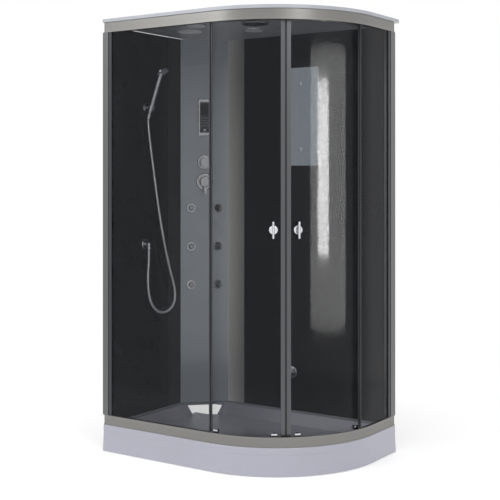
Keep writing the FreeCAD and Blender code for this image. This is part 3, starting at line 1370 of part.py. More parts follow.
def make_hose():
    """Tube along straight runs joined by tangent arcs."""
    points = hose_points()
    edges = []
    radii = []
    here = points[0]
    for i in range(1, len(points) - 1):
        corner = points[i]
        back = points[i - 1] - corner
        ahead = points[i + 1] - corner
        run = BEND_SHARE * min(back.Length, ahead.Length)
        half = back.getAngle(ahead) / 2
        radii.append(run * math.tan(half))
        start = corner + back.normalize() * run
        end = corner + ahead.normalize() * run
        inward = (back + ahead).normalize()
        centre = corner + inward * (run / math.cos(half))
        edges.append(Part.LineSegment(here, start).toShape())
        edges.append(Part.Arc(start, centre - inward * radii[-1], end).toShape())
        here = end
    edges.append(Part.LineSegment(here, points[-1]).toShape())
    path = Part.Wire(edges)
    section = Part.Wire([Part.Circle(points[0], points[1] - points[0], HOSE_R).toShape()])
    tube = path.makePipeShell([section], True, False)
    share = tube.Volume / (math.pi * HOSE_R ** 2 * path.Length)
    print("hose length %.1f, volume over section times length %.4f" % (path.Length, share))
    print("hose bend radii", [round(r) for r in radii])
    return tube


# ---------------------------------------------------------------- doors
def door_span(side):
    """Angles of a door from its trailing end to its leading end."""
    if side == "left":
        return -90.0 - DOOR_LAP_DEG, MEET
    return -FIXED_RIGHT_DEG + DOOR_LAP_DEG, MEET


def off_end(side, length, end):
    """Angle at a length inside the leading or trailing end of a door."""
    trail, lead = door_span(side)
    step = math.degrees(length / DOOR_R)
    towards_trail = -1 if side == "left" else 1
    if end == "lead":
        return lead + towards_trail * step
    return trail - towards_trail * step


def wheel_angles(side):
    return [off_end(side, WHEEL_END, "trail"), off_end(side, WHEEL_END + STILE_W, "lead")]


def wheel_z():
    """Centre of the upper wheels, which run on the top track."""
    return TRACK_HIGH + WHEEL_R + WHEEL_RUN_GAP


def shoe_z():
    """Middle of the lower guide's pin, over the bottom track."""
    return TRACK_LOW + SHOE_UP


def handle_angle(side):
    return MEET + (-HANDLE_DEG if side == "left" else HANDLE_DEG)


def door_bolts(side):
    """Radial holes of a door pane: angle, height and radius."""
    hole = AXLE_R + COLLAR_T + BOLT_GAP
    bolts = [(angle, z, hole) for angle in wheel_angles(side) for z in (wheel_z(), shoe_z())]
    bolts.append((handle_angle(side), HANDLE_Z, HANDLE_BOLT_R + HANDLE_BOLT_GAP))
    return bolts


def make_door_glass(side):
    trail = door_span(side)[0]
    front = off_end(side, STILE_GAP + STILE_W / 2, "lead")
    low, high = sorted((trail, front))
    pane = arc_plate(DOOR_R - GLASS, DOOR_R, low, high, DOOR_BOTTOM_Z, DOOR_TOP_Z)
    for angle, z, radius in door_bolts(side):
        hole = disc(radius, -DOOR_R - PAST, -DOOR_R + GLASS + PAST, 0.0, z)
        pane = pane.cut(on_curve(hole, angle))
    return pane


def make_door_seals(side):
    """Leading stile with its magnet strip, and the fin on the trailing edge."""
    low, high = DOOR_BOTTOM_Z, DOOR_TOP_Z
    bottom, top = SILL_TOP + STILE_END, HEAD_Z - STILE_END
    middle = DOOR_R - GLASS / 2
    r0, r1 = middle - STILE_T / 2, middle + STILE_T / 2
    a0, a1 = sorted((off_end(side, STILE_GAP, "lead"), off_end(side, STILE_GAP + STILE_W, "lead")))
    stile = arc_plate(r0, r1, a0, a1, bottom, top)
    stile = stile.fuse(arc_plate(r0, DOOR_R + STILE_SKIN, a0, a1, low, high))
    inner = off_end(side, STILE_GAP + STILE_W / 2, "lead")
    g0, g1 = sorted((inner, off_end(side, STILE_GAP + STILE_W + PAST, "lead")))
    slot = arc_plate(DOOR_R - GLASS - STILE_FIT, DOOR_R + STILE_FIT, g0, g1, low - PAST, high + PAST)
    stile = stile.cut(slot).removeSplitter()
    trail = door_span(side)[0]
    t0, t1 = sorted((trail, off_end(side, SEAL_W, "trail")))
    fin = arc_plate(DOOR_R, DOOR_R + SEAL_T, t0, t1, bottom, top)
    return Part.makeCompound([stile, fin])


def make_door_handle(side):
    """Upright bar on a round rose, bolted through the pane to a knob inside."""
    z = HANDLE_Z
    face = -DOOR_R
    rose_back = face - WASHER_T
    bar_y = face - HANDLE_STAND
    bar = rod(HANDLE_BAR_R, Vector(0, bar_y, z - HANDLE_L / 2), Vector(0, bar_y, z + HANDLE_L / 2))
    bar = bar.makeFillet(HANDLE_ROUND, [e for e in bar.Edges if len(e.Vertexes) == 1])
    rose = domed(HANDLE_ROSE_R, rose_back, rose_back - HANDLE_ROSE_T, 0.0, z, HANDLE_ROSE_ROUND)
    washer = disc(WASHER_R, face, rose_back, 0.0, z)
    post = disc(HANDLE_POST_R, rose_back - JOIN, bar_y, 0.0, z)
    seat = face + GLASS + SEAT_GAP
    bolt = disc(HANDLE_BOLT_R, seat + JOIN, rose_back - JOIN, 0.0, z)
    knob = disc(HANDLE_KNOB_R, seat + HANDLE_KNOB_L, seat, 0.0, z)
    return on_curve(fused([bar, rose, washer, post, bolt, knob]), handle_angle(side))


def make_carriers(side):
    """Axles with inside caps at the top, and guide shoes at the bottom."""
    pieces = []
    face = -DOOR_R
    inner = face + GLASS + SEAT_GAP
    outer = face - (TRACK_IN - RAIL_WEB_IN) + AXLE_SHORT
    for angle in wheel_angles(side):
        z = wheel_z()
        cap = domed(AXLE_CAP_R, inner, inner + AXLE_CAP_L, 0.0, z, FITTING_ROUND)
        axle = disc(AXLE_R, inner + JOIN, outer, 0.0, z)
        collar = disc(AXLE_R + COLLAR_T, inner, face - COLLAR_OUT, 0.0, z)
        pieces.append(on_curve(fused([cap, axle, collar]), angle))
        z = shoe_z()
        cap = domed(SHOE_CAP_R, inner, inner + SHOE_CAP_L, 0.0, z, FITTING_ROUND)
        collar = disc(AXLE_R + COLLAR_T, inner, face - COLLAR_OUT, 0.0, z)
        low, high = TRACK_LOW + SHOE_GAP, z + SHOE_RISE
        shoe = block(-SHOE_W / 2, SHOE_W / 2, outer, face - SHOE_OFF, low, high)
        pieces.append(on_curve(fused([cap, collar, shoe]), angle))
    return Part.makeCompound(pieces)


def make_wheel(angle):
    """Wheel that carries a door on the top track."""
    inner = -DOOR_R - WHEEL_OFF
    outer = inner - WHEEL_W
    wheel = disc(WHEEL_R, inner, outer, 0.0, wheel_z())
    bore = disc(AXLE_R + WHEEL_RUN_GAP, inner + PAST, outer - PAST, 0.0, wheel_z())
    return on_curve(wheel.cut(bore), angle)


# ---------------------------------------------------------------- the nodes
def all_nodes():
    nodes = {
        "tray": make_tray(),
        "front_apron": make_apron(),
        "support_frame": make_support_frame(),
        "levelling_feet": make_feet(),
        "drain_trap": make_trap(),
        "drain_seal": make_drain_seal(),
        "drain_cover": make_drain_cover(),
        "left_post": make_left_post(),
        "right_post": make_right_post(),
        "bottom_rail": make_bottom_rail(),
        "top_rail": make_top_rail(),
        "left_fixed_glass": make_left_pane(),
        "right_fixed_glass": make_right_pane(),
        "fixed_glass_seals": make_pane_seals(),
        "frame_screws": make_screws(),
        "left_wall": make_left_wall(),
        "back_wall": make_back_wall(),
        "column_panel": make_column(),
        "mirror": make_mirror(),
        "mirror_screws": make_mirror_screws(),
        "roof_panel": make_roof(),
        "rain_head": make_rain_head(),
        "ceiling_light": make_ceiling_light(),
        "speaker": make_speaker(),
        "fan_housing": make_fan_housing(),
        "fan_impeller": make_fan_impeller(),
        "control_bezel": make_bezel(),
        "control_display": make_display(),
        "power_key": make_power_key(),
        "valve_body": make_valve_body(),
        "knob_roses": make_escutcheons(),
        "diverter_knob": make_diverter_knob(),
        "mixer_lever": make_mixer_lever(),
        "jet_roses": make_jet_roses(),
        "jet_manifold": make_jet_manifold(),
        "supply_pipes": make_supply_pipes(),
        "steam_generator": make_steam_generator(),
        "steam_outlet": make_steam_outlet(),
        "handset_bracket": make_bracket(),
        "handset": make_handset(),
        "wall_outlet": make_wall_outlet(),
        "shower_hose": make_hose(),
    }
    for number, (x, z) in enumerate(jet_places(), start=1):
        nodes["jet_nozzle_%d" % number] = make_nozzle(x, z)
    for side in ("left", "right"):
        nodes[side + "_door_glass"] = make_door_glass(side)
        nodes[side + "_door_seals"] = make_door_seals(side)
        nodes[side + "_door_handle"] = make_door_handle(side)
        nodes[side + "_door_carriers"] = make_carriers(side)
        for name, angle in zip(("rear", "lead"), wheel_angles(side)):
            nodes["%s_door_%s_wheel" % (side, name)] = make_wheel(angle)
    return nodes


def main():
    os.makedirs("parts", exist_ok=True)
    for name, shape in all_nodes().items():
        if not shape.isValid():
            raise RuntimeError(name + " is not a valid shape")
        shape.exportStep("parts/%s.step" % name)


if __name__ == "__main__":
    main()
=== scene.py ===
"""Corner steam shower cabin: finishes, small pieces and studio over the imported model."""
import math

import bmesh
import bpy
from bpy.props import FloatProperty, FloatVectorProperty, IntProperty, PointerProperty
from mathutils import Matrix, Vector


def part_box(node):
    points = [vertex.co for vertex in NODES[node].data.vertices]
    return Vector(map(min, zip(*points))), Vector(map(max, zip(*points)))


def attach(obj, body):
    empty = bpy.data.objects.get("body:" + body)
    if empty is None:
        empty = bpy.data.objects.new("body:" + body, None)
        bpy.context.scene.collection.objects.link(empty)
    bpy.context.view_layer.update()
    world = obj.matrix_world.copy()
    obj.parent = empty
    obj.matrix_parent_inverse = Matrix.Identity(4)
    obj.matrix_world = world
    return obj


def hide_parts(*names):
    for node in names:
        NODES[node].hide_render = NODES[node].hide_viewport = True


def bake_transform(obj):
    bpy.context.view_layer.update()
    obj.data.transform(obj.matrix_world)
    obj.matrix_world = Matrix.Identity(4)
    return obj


bl_info = {
    "name": "Steam Shower Cabin",
    "version": (1, 0, 0),
    "blender": (4, 5, 0),
    "location": "3D View > Sidebar > Cabin",
    "description": "Finishes, small pieces and studio of a corner steam shower cabin",
    "category": "Object",
}

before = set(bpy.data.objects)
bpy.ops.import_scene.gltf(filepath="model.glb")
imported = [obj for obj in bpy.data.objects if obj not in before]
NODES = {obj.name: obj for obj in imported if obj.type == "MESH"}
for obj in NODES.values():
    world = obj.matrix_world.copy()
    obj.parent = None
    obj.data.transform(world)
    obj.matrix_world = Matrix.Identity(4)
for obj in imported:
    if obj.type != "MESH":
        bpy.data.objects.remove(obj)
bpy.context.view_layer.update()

# Places on the cabin, in metres, read from the frame
RIM_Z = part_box("tray")[1].z
SILL_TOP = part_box("bottom_rail")[1].z
HEAD_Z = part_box("top_rail")[0].z
LEFT_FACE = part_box("left_wall")[1].x
BACK_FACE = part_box("back_wall")[0].y
POST_INNER_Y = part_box("left_post")[1].y
POST_INNER_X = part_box("right_post")[0].x
SIDES = ("left", "right")

# Front, in metres as part.py works it out: radii and degrees are taken round ARC_CENTRE, degrees from +X
ARC_CENTRE = Vector((0.05, 0.1325, 0.0))
CURVE_R = 0.55  # tray's front curve
FIXED_INSET = 0.015  # outer face of the fixed panes behind that curve
FIXED_END = 0.008  # end of the left fixed pane before the curve begins
RIGHT_PANE_DEG = -9.0  # end of the right fixed pane's curved part
GLASS = 0.005  # thickness of a pane
DOOR_R = 0.513  # outer face of the door panes
STILE_FACE = 0.5175  # outer face of the doors' stiles
MEET_DEG = -51.5  # where the doors meet
HALF_GAP = 0.0006  # from there to either stile

# Column and its fittings, in metres: faces are measured outwards from the column's slanted face
COLUMN_MID = Vector((-0.471490, 0.253990, 0.0))
COLUMN_BENDS = ((-0.562, 0.06048), (-0.562, 0.16348), (-0.38098, 0.3445), (-0.27798, 0.3445))
PANEL_Z = 1.650  # middle of the control display
DISPLAY_FACE = 0.0082
DIVERTER_Z = 1.412
MIXER_Z = 1.307
KNOB_FACE = 0.0375

# Hand shower: where its handle sits in the bracket, and its spray disc in the handle's own frame
HANDSET_AT = Vector((-0.528, -0.1225, 1.685))
HANDSET_LEAN = math.radians(20.0)
SPRAY_AT = Vector((0.0, -0.008, 0.192))
SPRAY_TILT = math.radians(38.0)
SPRAY_HALF = 0.007  # half of the disc's thickness

# Lowest faces of the rain head, the lamp and the speaker, the ceiling over them, and the basin's floor
RAIN_AT = Vector((0.105, -0.1225, 2.055))
LAMP_AT = Vector((-0.18, -0.2025, 2.055))
SPEAKER_AT = Vector((-0.04, 0.0825, 2.058))
CEILING_Z = LAMP_AT.z + 0.009
BASIN_Z = 0.072

# Route of the hose, in metres: the same points as in part.py
HOSE_ROUTE = (
    (-0.540997, -0.1225, 1.649291), (-0.549206, -0.1225, 1.626739), (-0.548, -0.1185, 1.573),
    (-0.544, -0.1065, 1.475), (-0.538, -0.0835, 1.320), (-0.536, -0.0505, 1.152),
    (-0.536, -0.0085, 0.990), (-0.536, 0.0375, 0.855), (-0.536, 0.0865, 0.735),
    (-0.536, 0.0735, 0.664), (-0.536, 0.0115, 0.632), (-0.536, -0.0615, 0.640),
    (-0.536, -0.1175, 0.691), (-0.536, -0.1385, 0.766), (-0.536, -0.1385, 0.852),
    (-0.537, -0.1295, 0.906), (-0.537, -0.1295, 0.968),
)
HOSE_DIAMETER = 0.014

# The photograph's camera: its picture in pixels, its sensor in millimetres
PHOTO_SIDE = 500
FOCAL_PIXELS = 1045.6
HORIZON_PIXEL = 176.8
SENSOR = 36.0
CAMERA_AT = Vector((2.8565, -4.2287, 1.3337))
CAMERA_HEADING = Vector((-0.5606, 0.8281, 0.0))


# ---------------------------------------------------------------- settings
class CabinSizes(bpy.types.PropertyGroup):
    """Sizes of the small pieces."""

    sealant: FloatProperty(name="Sealant", description="Width of the silicone bead on the tray",
                           default=0.006, unit="LENGTH")
    gasket: FloatProperty(name="Gasket", description="Width of the black gasket beside the fixed panes",
                          default=0.0018, unit="LENGTH")
    magnet: FloatProperty(name="Magnet strip", description="Width of the strip on each door's edge",
                          default=0.009, unit="LENGTH")
    hose_pitch: FloatProperty(name="Hose pitch", description="Distance between the turns of the hose's steel",
                              default=0.0042, unit="LENGTH")
    spray_rows: IntProperty(name="Spray rows", description="Rings of nozzles on the handset", default=3)


class CabinColours(bpy.types.PropertyGroup):
    """Colours of the finishes."""

    acrylic: FloatVectorProperty(name="Acrylic", description="Tray and apron", subtype="COLOR",
                                 default=(0.41, 0.41, 0.48))
    rail: FloatVectorProperty(name="Rails", description="Anodised top and bottom rails", subtype="COLOR",
                              default=(0.245, 0.241, 0.230))
    post: FloatVectorProperty(name="Posts", description="Anodised wall posts", subtype="COLOR",
                              default=(0.165, 0.165, 0.167))
    stile: FloatVectorProperty(name="Door edges", description="Upright profiles on the doors' edges",
                               subtype="COLOR", default=(0.120, 0.123, 0.130))
    tint: FloatVectorProperty(name="Tint", description="Body colour of the front glass", subtype="COLOR",
                              default=(0.012, 0.014, 0.018))
    density: FloatProperty(name="Glass density", description="Share of light that one glass face holds back",
                           default=0.22, subtype="FACTOR")
    column: FloatVectorProperty(name="Column", description="Service column", subtype="COLOR",
                                default=(0.42, 0.465, 0.51))
    roof: FloatVectorProperty(name="Roof", description="Roof panel", subtype="COLOR",
                              default=(0.46, 0.48, 0.52))


# ---------------------------------------------------------------- shader tools
class Socket:
    """Output of a shader node that can stand in an expression with numbers and other outputs."""

    def __init__(self, recipe, output):
        self.recipe = recipe
        self.output = output

    def maths(self, operation, first, second):
        return self.recipe.node("ShaderNodeMath", {"operation": operation}, {0: first, 1: second})

    def __add__(self, other):
        return self.maths("ADD", self, other)

    def __radd__(self, other):
        return self.maths("ADD", other, self)

    def __sub__(self, other):
        return self.maths("SUBTRACT", self, other)

    def __rsub__(self, other):
        return self.maths("SUBTRACT", other, self)

    def __mul__(self, other):
        return self.maths("MULTIPLY", self, other)

    def __rmul__(self, other):
        return self.maths("MULTIPLY", other, self)

    def __pow__(self, other):
        return self.maths("POWER", self, other)

    def __lt__(self, other):
        return self.maths("LESS_THAN", self, other)

    def __gt__(self, other):
        return self.maths("GREATER_THAN", self, other)


class Recipe:
    """Node tree of a new material or world, with the shader that it starts with."""

    def __init__(self, name, kind="materials", shader="Principled BSDF"):
        self.owner = getattr(bpy.data, kind).new(name)
        self.owner.use_nodes = True
        self.tree = self.owner.node_tree
        self.shader = self.tree.nodes[shader]

    def node(self, kind, settings=None, sockets=None, output=0):
        """Adds a node: its settings first, a ramp's stops among them, then its sockets' values or links."""
        made = self.tree.nodes.new(kind)
        for name, value in (settings or {}).items():
            if name == "stops":
                for element, (place, shade) in zip(made.color_ramp.elements, value):
                    element.position = place
                    element.color = (shade, shade, shade, 1.0)
            else:
                setattr(made, name, value)
        for name, value in (sockets or {}).items():
            self.feed(made.inputs[name], value)
        return Socket(self, made.outputs[output])

    def feed(self, target, value):
        """Links an output to a socket, or sets the socket's own value."""
        if isinstance(value, Socket):
            self.tree.links.new(value.output, target)
        elif target.type == "RGBA" and len(value) == 3:
            target.default_value = (*value, 1.0)
        else:
            target.default_value = value

    def set(self, **sockets):
        """Values or links of the shader, by socket name with _ for a space."""
        for name, value in sockets.items():
            self.feed(self.shader.inputs[name.replace("_", " ")], value)

    def place(self):
        """Position on the piece, in metres."""
        return self.node("ShaderNodeTexCoord", output=3)

    def axis(self, number):
        """One coordinate of that position."""
        return self.node("ShaderNodeSeparateXYZ", sockets={0: self.place()}, output=number)

    def stretched(self, x, y, z):
        """That position, scaled along each axis."""
        return self.node("ShaderNodeVectorMath", {"operation": "MULTIPLY"}, {0: self.place(), 1: (x, y, z)})

    def noise(self, scale, detail=3.0, rough=0.5, where=None):
        sockets = {"Vector": where or self.place(), "Scale": scale, "Detail": detail, "Roughness": rough}
        return self.node("ShaderNodeTexNoise", sockets=sockets)

    def cells(self, scale):
        return self.node("ShaderNodeTexVoronoi", sockets={"Vector": self.place(), "Scale": scale})

    def rim(self):
        """0 where a surface is seen face on, 1 where it is seen along its face."""
        return self.node("ShaderNodeLayerWeight", sockets={"Blend": 0.5}, output=1)

    def blend(self, share, first, second):
        """Colour between two colours."""
        sockets = {0: share, 6: first, 7: second}
        return self.node("ShaderNodeMix", {"data_type": "RGBA"}, sockets, output=2)

    def bump(self, height, distance, strength):
        sockets = {"Height": height, "Distance": distance, "Strength": strength}
        self.set(Normal=self.node("ShaderNodeBump", sockets=sockets))


def shade(colour, factor):
    """Colour made lighter or darker."""
    return tuple(min(1.0, c * factor) for c in colour)


# ---------------------------------------------------------------- finishes
def sanitary_acrylic(colour):
    """Glossy vacuum formed acrylic, with a pebbled non-slip floor in the basin."""
    mix = Recipe("sanitary_acrylic")
    tone = mix.noise(2.2, 4.0)
    mix.set(Base_Color=mix.blend(tone, shade(colour, 0.94), shade(colour, 1.05)))
    mix.set(Roughness=0.10 + 0.14 * mix.noise(7.0, 5.0), Coat_Weight=0.35, Coat_Roughness=0.06)
    floor_margin = 0.0008
    pebbles = mix.cells(150.0) * (mix.axis(2) < BASIN_Z + floor_margin)
    peel = mix.noise(300.0, 2.0) * 0.06
    mix.bump(pebbles + peel, 0.0011, 0.75)
    return mix.owner


def satin_aluminium(name, colour, upright):
    """Anodised section with fine drawn lines: upright on posts, level on rails."""
    mix = Recipe(name)
    lines = mix.stretched(900.0, 900.0, 1.2) if upright else mix.stretched(1.2, 1.2, 1100.0)
    drawn = mix.noise(1.0, 3.0, 0.6, lines)
    broad = mix.noise(5.0, 3.0)
    tone = mix.blend(drawn, shade(colour, 0.86), shade(colour, 1.12))
    mix.set(Base_Color=mix.blend(broad * 0.35, tone, shade(colour, 0.9)), Metallic=1.0)
    mix.set(Roughness=0.26 + 0.16 * drawn)
    mix.bump(drawn, 0.00008, 0.8)
    return mix.owner


def tinted_glass(colour, density):
    """Grey toughened glass: clear face on, closing up when seen along its face, with a faint film."""
    mix = Recipe("tinted_glass")
    along = mix.rim()
    film = mix.noise(3.0, 5.0)
    mix.set(Base_Color=mix.blend(film, shade(colour, 0.8), shade(colour, 1.3)), IOR=1.68)
    mix.set(Roughness=0.085 + 0.02 * film, Specular_IOR_Level=0.27)
    mix.set(Alpha=density + (1.0 - density) * along ** 5.0)
    return mix.owner


def black_glass():
    """Back-painted black glass, with the faintest waviness of toughening."""
    mix = Recipe("black_glass")
    film = mix.noise(4.0, 5.0)
    mix.set(Base_Color=mix.blend(film, (0.0035, 0.0035, 0.0042), (0.0075, 0.0075, 0.009)), IOR=1.52)
    mix.set(Roughness=0.018 + 0.03 * film, Specular_IOR_Level=0.10)
    mix.bump(mix.noise(2.6, 1.0), 0.0004, 0.5)
    return mix.owner


def column_gloss(colour):
    """Lacquered column: silver grey face with flakes, black left wing, and a right wing coloured with a
    painted highlight that fades into painted shade.
    """
    mix = Recipe("column_gloss")
    flakes = mix.cells(2400.0)
    cloud = mix.noise(1.6, 3.0)
    tone = mix.blend(cloud, shade(colour, 0.95), shade(colour, 1.05))
    margin = 0.001
    left_edge, right_edge, right_end = COLUMN_BENDS[1][1], COLUMN_BENDS[2][0], COLUMN_BENDS[3][0]
    left_wing = mix.axis(1) < left_edge - margin
    right_wing = mix.axis(0) > right_edge + margin
    # The right wing's colour is painted light: a bright painted highlight at the bend that fades across the
    # wing into painted shade at its far end.
    across = (mix.axis(0) - right_edge) * (1.0 / (right_end - right_edge))
    painted_highlight_wing = mix.blend(across.maths("MINIMUM", across, 1.0), (0.98, 0.95, 0.89), (0.34, 0.35, 0.34))
    lacquer = mix.blend(flakes * 0.4, tone, shade(colour, 1.35))
    paint = mix.blend(right_wing, lacquer, painted_highlight_wing)
    mix.set(Base_Color=mix.blend(left_wing, paint, (0.012, 0.014, 0.015)), Metallic=0.25)
    mix.set(Roughness=0.26 + 0.10 * flakes, Coat_Weight=0.8 - 0.75 * left_wing, Coat_Roughness=0.07)
    mix.bump(mix.noise(260.0, 2.0), 0.00004, 0.6)
    return mix.owner


def silvered_mirror():
    """Silvered mirror with a cool cast and the lightest film."""
    mix = Recipe("silvered_mirror")
    film = mix.noise(6.0, 6.0)
    mix.set(Base_Color=mix.blend(film, (0.34, 0.39, 0.43), (0.39, 0.44, 0.48)), Metallic=1.0)
    mix.set(Roughness=0.008 + 0.03 * film ** 3.0)
    return mix.owner


def chrome(name, colour, peel):
    """Chrome with water marks and painted shade along its rims, standing in for dark reflections; plated
    plastic has more peel than brass.
    """
    mix = Recipe(name)
    marks = mix.noise(45.0, 6.0, 0.65)
    spots = mix.cells(240.0) < 0.14
    rim = mix.rim()
    tone = mix.blend(marks, shade(colour, 0.93), shade(colour, 1.05))
    # Base colour darkens towards the rims: painted shade in place of the dark surroundings that real chrome
    # would reflect there.
    mix.set(Base_Color=mix.blend(rim * 0.9, tone, shade(colour, 0.12)), Metallic=1.0)
    mix.set(Roughness=0.05 + 0.07 * marks + 0.10 * spots)
    mix.bump(mix.noise(170.0, 2.0), peel, 0.6)
    return mix.owner


def moulded(name, colour, roughness, grain):
    """Moulded or painted surface with a slightly uneven tone and its own grain, a noise scale."""
    mix = Recipe(name)
    tone = mix.noise(9.0, 4.0)
    speck = mix.noise(grain, 2.0)
    mix.set(Base_Color=mix.blend(tone, shade(colour, 0.88), shade(colour, 1.1)))
    mix.set(Roughness=roughness + 0.12 * speck)
    mix.bump(speck, 0.00012, 0.8)
    return mix.owner


def galvanised_steel():
    """Hot dipped zinc with its spangles."""
    mix = Recipe("galvanised_steel")
    spangle = mix.cells(90.0)
    fine = mix.noise(600.0, 3.0)
    mix.set(Base_Color=mix.blend(spangle, (0.42, 0.43, 0.45), (0.62, 0.63, 0.66)), Metallic=0.9)
    mix.set(Roughness=0.34 + 0.20 * spangle + 0.05 * fine)
    mix.bump(fine, 0.00006, 0.8)
    return mix.owner


def cast_brass():
    """Sand cast brass, browned by age."""
    mix = Recipe("cast_brass")
    sand = mix.noise(420.0, 4.0, 0.7)
    age = mix.noise(14.0, 5.0)
    mix.set(Base_Color=mix.blend(age, (0.72, 0.50, 0.22), (0.48, 0.31, 0.14)), Metallic=1.0)
    mix.set(Roughness=0.30 + 0.22 * sand)
    mix.bump(sand, 0.0003, 0.8)
    return mix.owner


def frosted_lens():
    """Lamp cover with moulded rings round its middle."""
    mix = Recipe("frosted_lens")
    from_middle = mix.node("ShaderNodeVectorMath", {"operation": "DISTANCE"},
                           {0: mix.stretched(1.0, 1.0, 0.0), 1: (LAMP_AT.x, LAMP_AT.y, 0.0)}, output=1)
    rings = mix.node("ShaderNodeMath", {"operation": "SINE"}, {0: from_middle * 1600.0})
    frost = mix.noise(900.0, 2.0)
    mix.set(Base_Color=mix.blend(frost, (0.78, 0.80, 0.82), (0.86, 0.87, 0.88)))
    mix.set(Roughness=0.22 + 0.15 * frost, Coat_Weight=0.3)
    mix.bump(rings * 0.5 + frost * 0.1, 0.0005, 0.8)
    return mix.owner


def steel_hose():
    """Bright wound steel, with wear."""
    mix = Recipe("steel_hose")
    wear = mix.noise(60.0, 5.0)
    mix.set(Base_Color=mix.blend(wear, (0.70, 0.71, 0.72), (0.84, 0.85, 0.86)), Metallic=1.0)
    mix.set(Roughness=0.22 + 0.16 * wear)
    return mix.owner


def dark_window():
    """Smoked window of the control display, with a fine dot grid under the gloss."""
    mix = Recipe("dark_window")
    dots = mix.cells(1500.0)
    mix.set(Base_Color=mix.blend(dots, (0.030, 0.036, 0.042), (0.055, 0.064, 0.072)))
    mix.set(Roughness=0.06 + 0.05 * mix.noise(30.0, 4.0), Coat_Weight=0.6, Coat_Roughness=0.03)
    return mix.owner


def make_finishes(colours):
    """Every finish, by name."""
    return {
        "acrylic": sanitary_acrylic(tuple(colours.acrylic)),
        "rail": satin_aluminium("satin_rail", tuple(colours.rail), False),
        "post": satin_aluminium("satin_post", tuple(colours.post), True),
        "stile": satin_aluminium("satin_stile", tuple(colours.stile), True),
        "tinted": tinted_glass(tuple(colours.tint), colours.density),
        "black": black_glass(),
        "column": column_gloss(tuple(colours.column)),
        "mirror": silvered_mirror(),
        "chrome": chrome("polished_chrome", (0.72, 0.73, 0.75), 0.000002),
        "plated": chrome("plated_plastic", (0.60, 0.62, 0.65), 0.00002),
        "roof": moulded("roof_plastic", tuple(colours.roof), 0.18, 500.0),
        "white": moulded("white_plastic", (0.74, 0.75, 0.76), 0.34, 900.0),
        "nylon": moulded("black_nylon", (0.018, 0.018, 0.020), 0.42, 1200.0),
        "roller": moulded("roller_nylon", (0.80, 0.80, 0.77), 0.30, 1400.0),
        "rubber": moulded("black_rubber", (0.012, 0.012, 0.013), 0.55, 1600.0),
        # Sealant bead: a real silicone bead whose dark grey is partly painted shade for the shadow line where
        # the tray meets the walls and column.
        "sealant_painted_shade": moulded("grey_sealant_painted_shade", (0.20, 0.22, 0.24), 0.30, 700.0),
        "dark_seal": moulded("dark_seal", (0.030, 0.033, 0.037), 0.30, 900.0),
        "soft_tip": moulded("soft_tip", (0.36, 0.38, 0.41), 0.45, 1500.0),
        "pipe": moulded("water_pipe", (0.68, 0.70, 0.72), 0.35, 800.0),
        "casing": moulded("steam_casing", (0.58, 0.60, 0.62), 0.38, 900.0),
        "key": moulded("touch_key", (0.16, 0.19, 0.22), 0.16, 900.0),
        "dark_key": moulded("dark_key", (0.010, 0.012, 0.014), 0.14, 900.0),
        "hot": moulded("hot_mark", (0.60, 0.03, 0.02), 0.25, 900.0),
        "cold": moulded("cold_mark", (0.02, 0.10, 0.55), 0.25, 900.0),
        "zinc": galvanised_steel(),
        "brass": cast_brass(),
        "lens": frosted_lens(),
        "hose": steel_hose(),
        "display": dark_window(),
    }


FINISHES = {}


def finish(name):
    """A finish by its name; the first call makes them all."""
    if not FINISHES:
        FINISHES.update(make_finishes(bpy.context.scene.cabin_colours))
    return FINISHES[name]


def dress(name, *nodes):
    """Gives CAD nodes their finish."""
    for node in nodes:
        slots = NODES[node].material_slots
        if not slots:
            raise RuntimeError(node + " has no material slot")
        for slot in slots:
            slot.material = finish(name)


# ---------------------------------------------------------------- mesh tools
def add_piece(name, shape, finish_name, body):
    mesh = bpy.data.meshes.new(name)
    bmesh.ops.recalc_face_normals(shape, faces=shape.faces)
    shape.to_mesh(mesh)
    shape.free()
    mesh.shade_smooth()
    mesh.set_sharp_from_angle(angle=math.radians(35.0))
    mesh.materials.append(finish(finish_name))
    made = bpy.data.objects.new(name, mesh)
    bpy.context.scene.collection.objects.link(made)
    if body:
        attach(made, body)
    return made


def loft(shape, rings, hoop=False):
    """Faces between rings of points: each end gets a cap, or the last ring of a hoop meets the first."""
    rows = [[shape.verts.new(point) for point in ring] for ring in rings]
    count = len(rows[0])
    for near, far in zip(rows, rows[1:] + rows[:1] if hoop else rows[1:]):
        for i in range(count):
            j = (i + 1) % count
            shape.faces.new((near[i], near[j], far[j], far[i]))
    if not hoop:
        shape.faces.new(rows[0])
        shape.faces.new(rows[-1][::-1])


def circle(count, radius):
    """Points of (x, y) evenly round a circle."""
    angles = [2 * math.pi * i / count for i in range(count)]
    return [(radius * math.cos(angle), radius * math.sin(angle)) for angle in angles]


def turned(shape, profile, place, sides=32):
    """Solid turned round the local Z axis from (radius, height) points, put in place by a matrix."""
    loft(shape, [[place @ Vector((x, y, height)) for x, y in circle(sides, radius)]
                 for radius, height in profile])


def hoop_of(shape, profile, place, sides=64):
    """Hoop round the local Z axis whose section is a closed loop of (radius, height) points."""
    turns = [Matrix.Rotation(2 * math.pi * i / sides, 4, "Z") for i in range(sides)]
    loft(shape, [[place @ turn @ Vector((radius, 0.0, height)) for radius, height in profile]
                 for turn in turns], hoop=True)


def prism(shape, outline, ends):
    """Solid of an outline of (x, y) points between two heights."""
    loft(shape, [[Vector((x, y, z)) for x, y in outline] for z in ends])


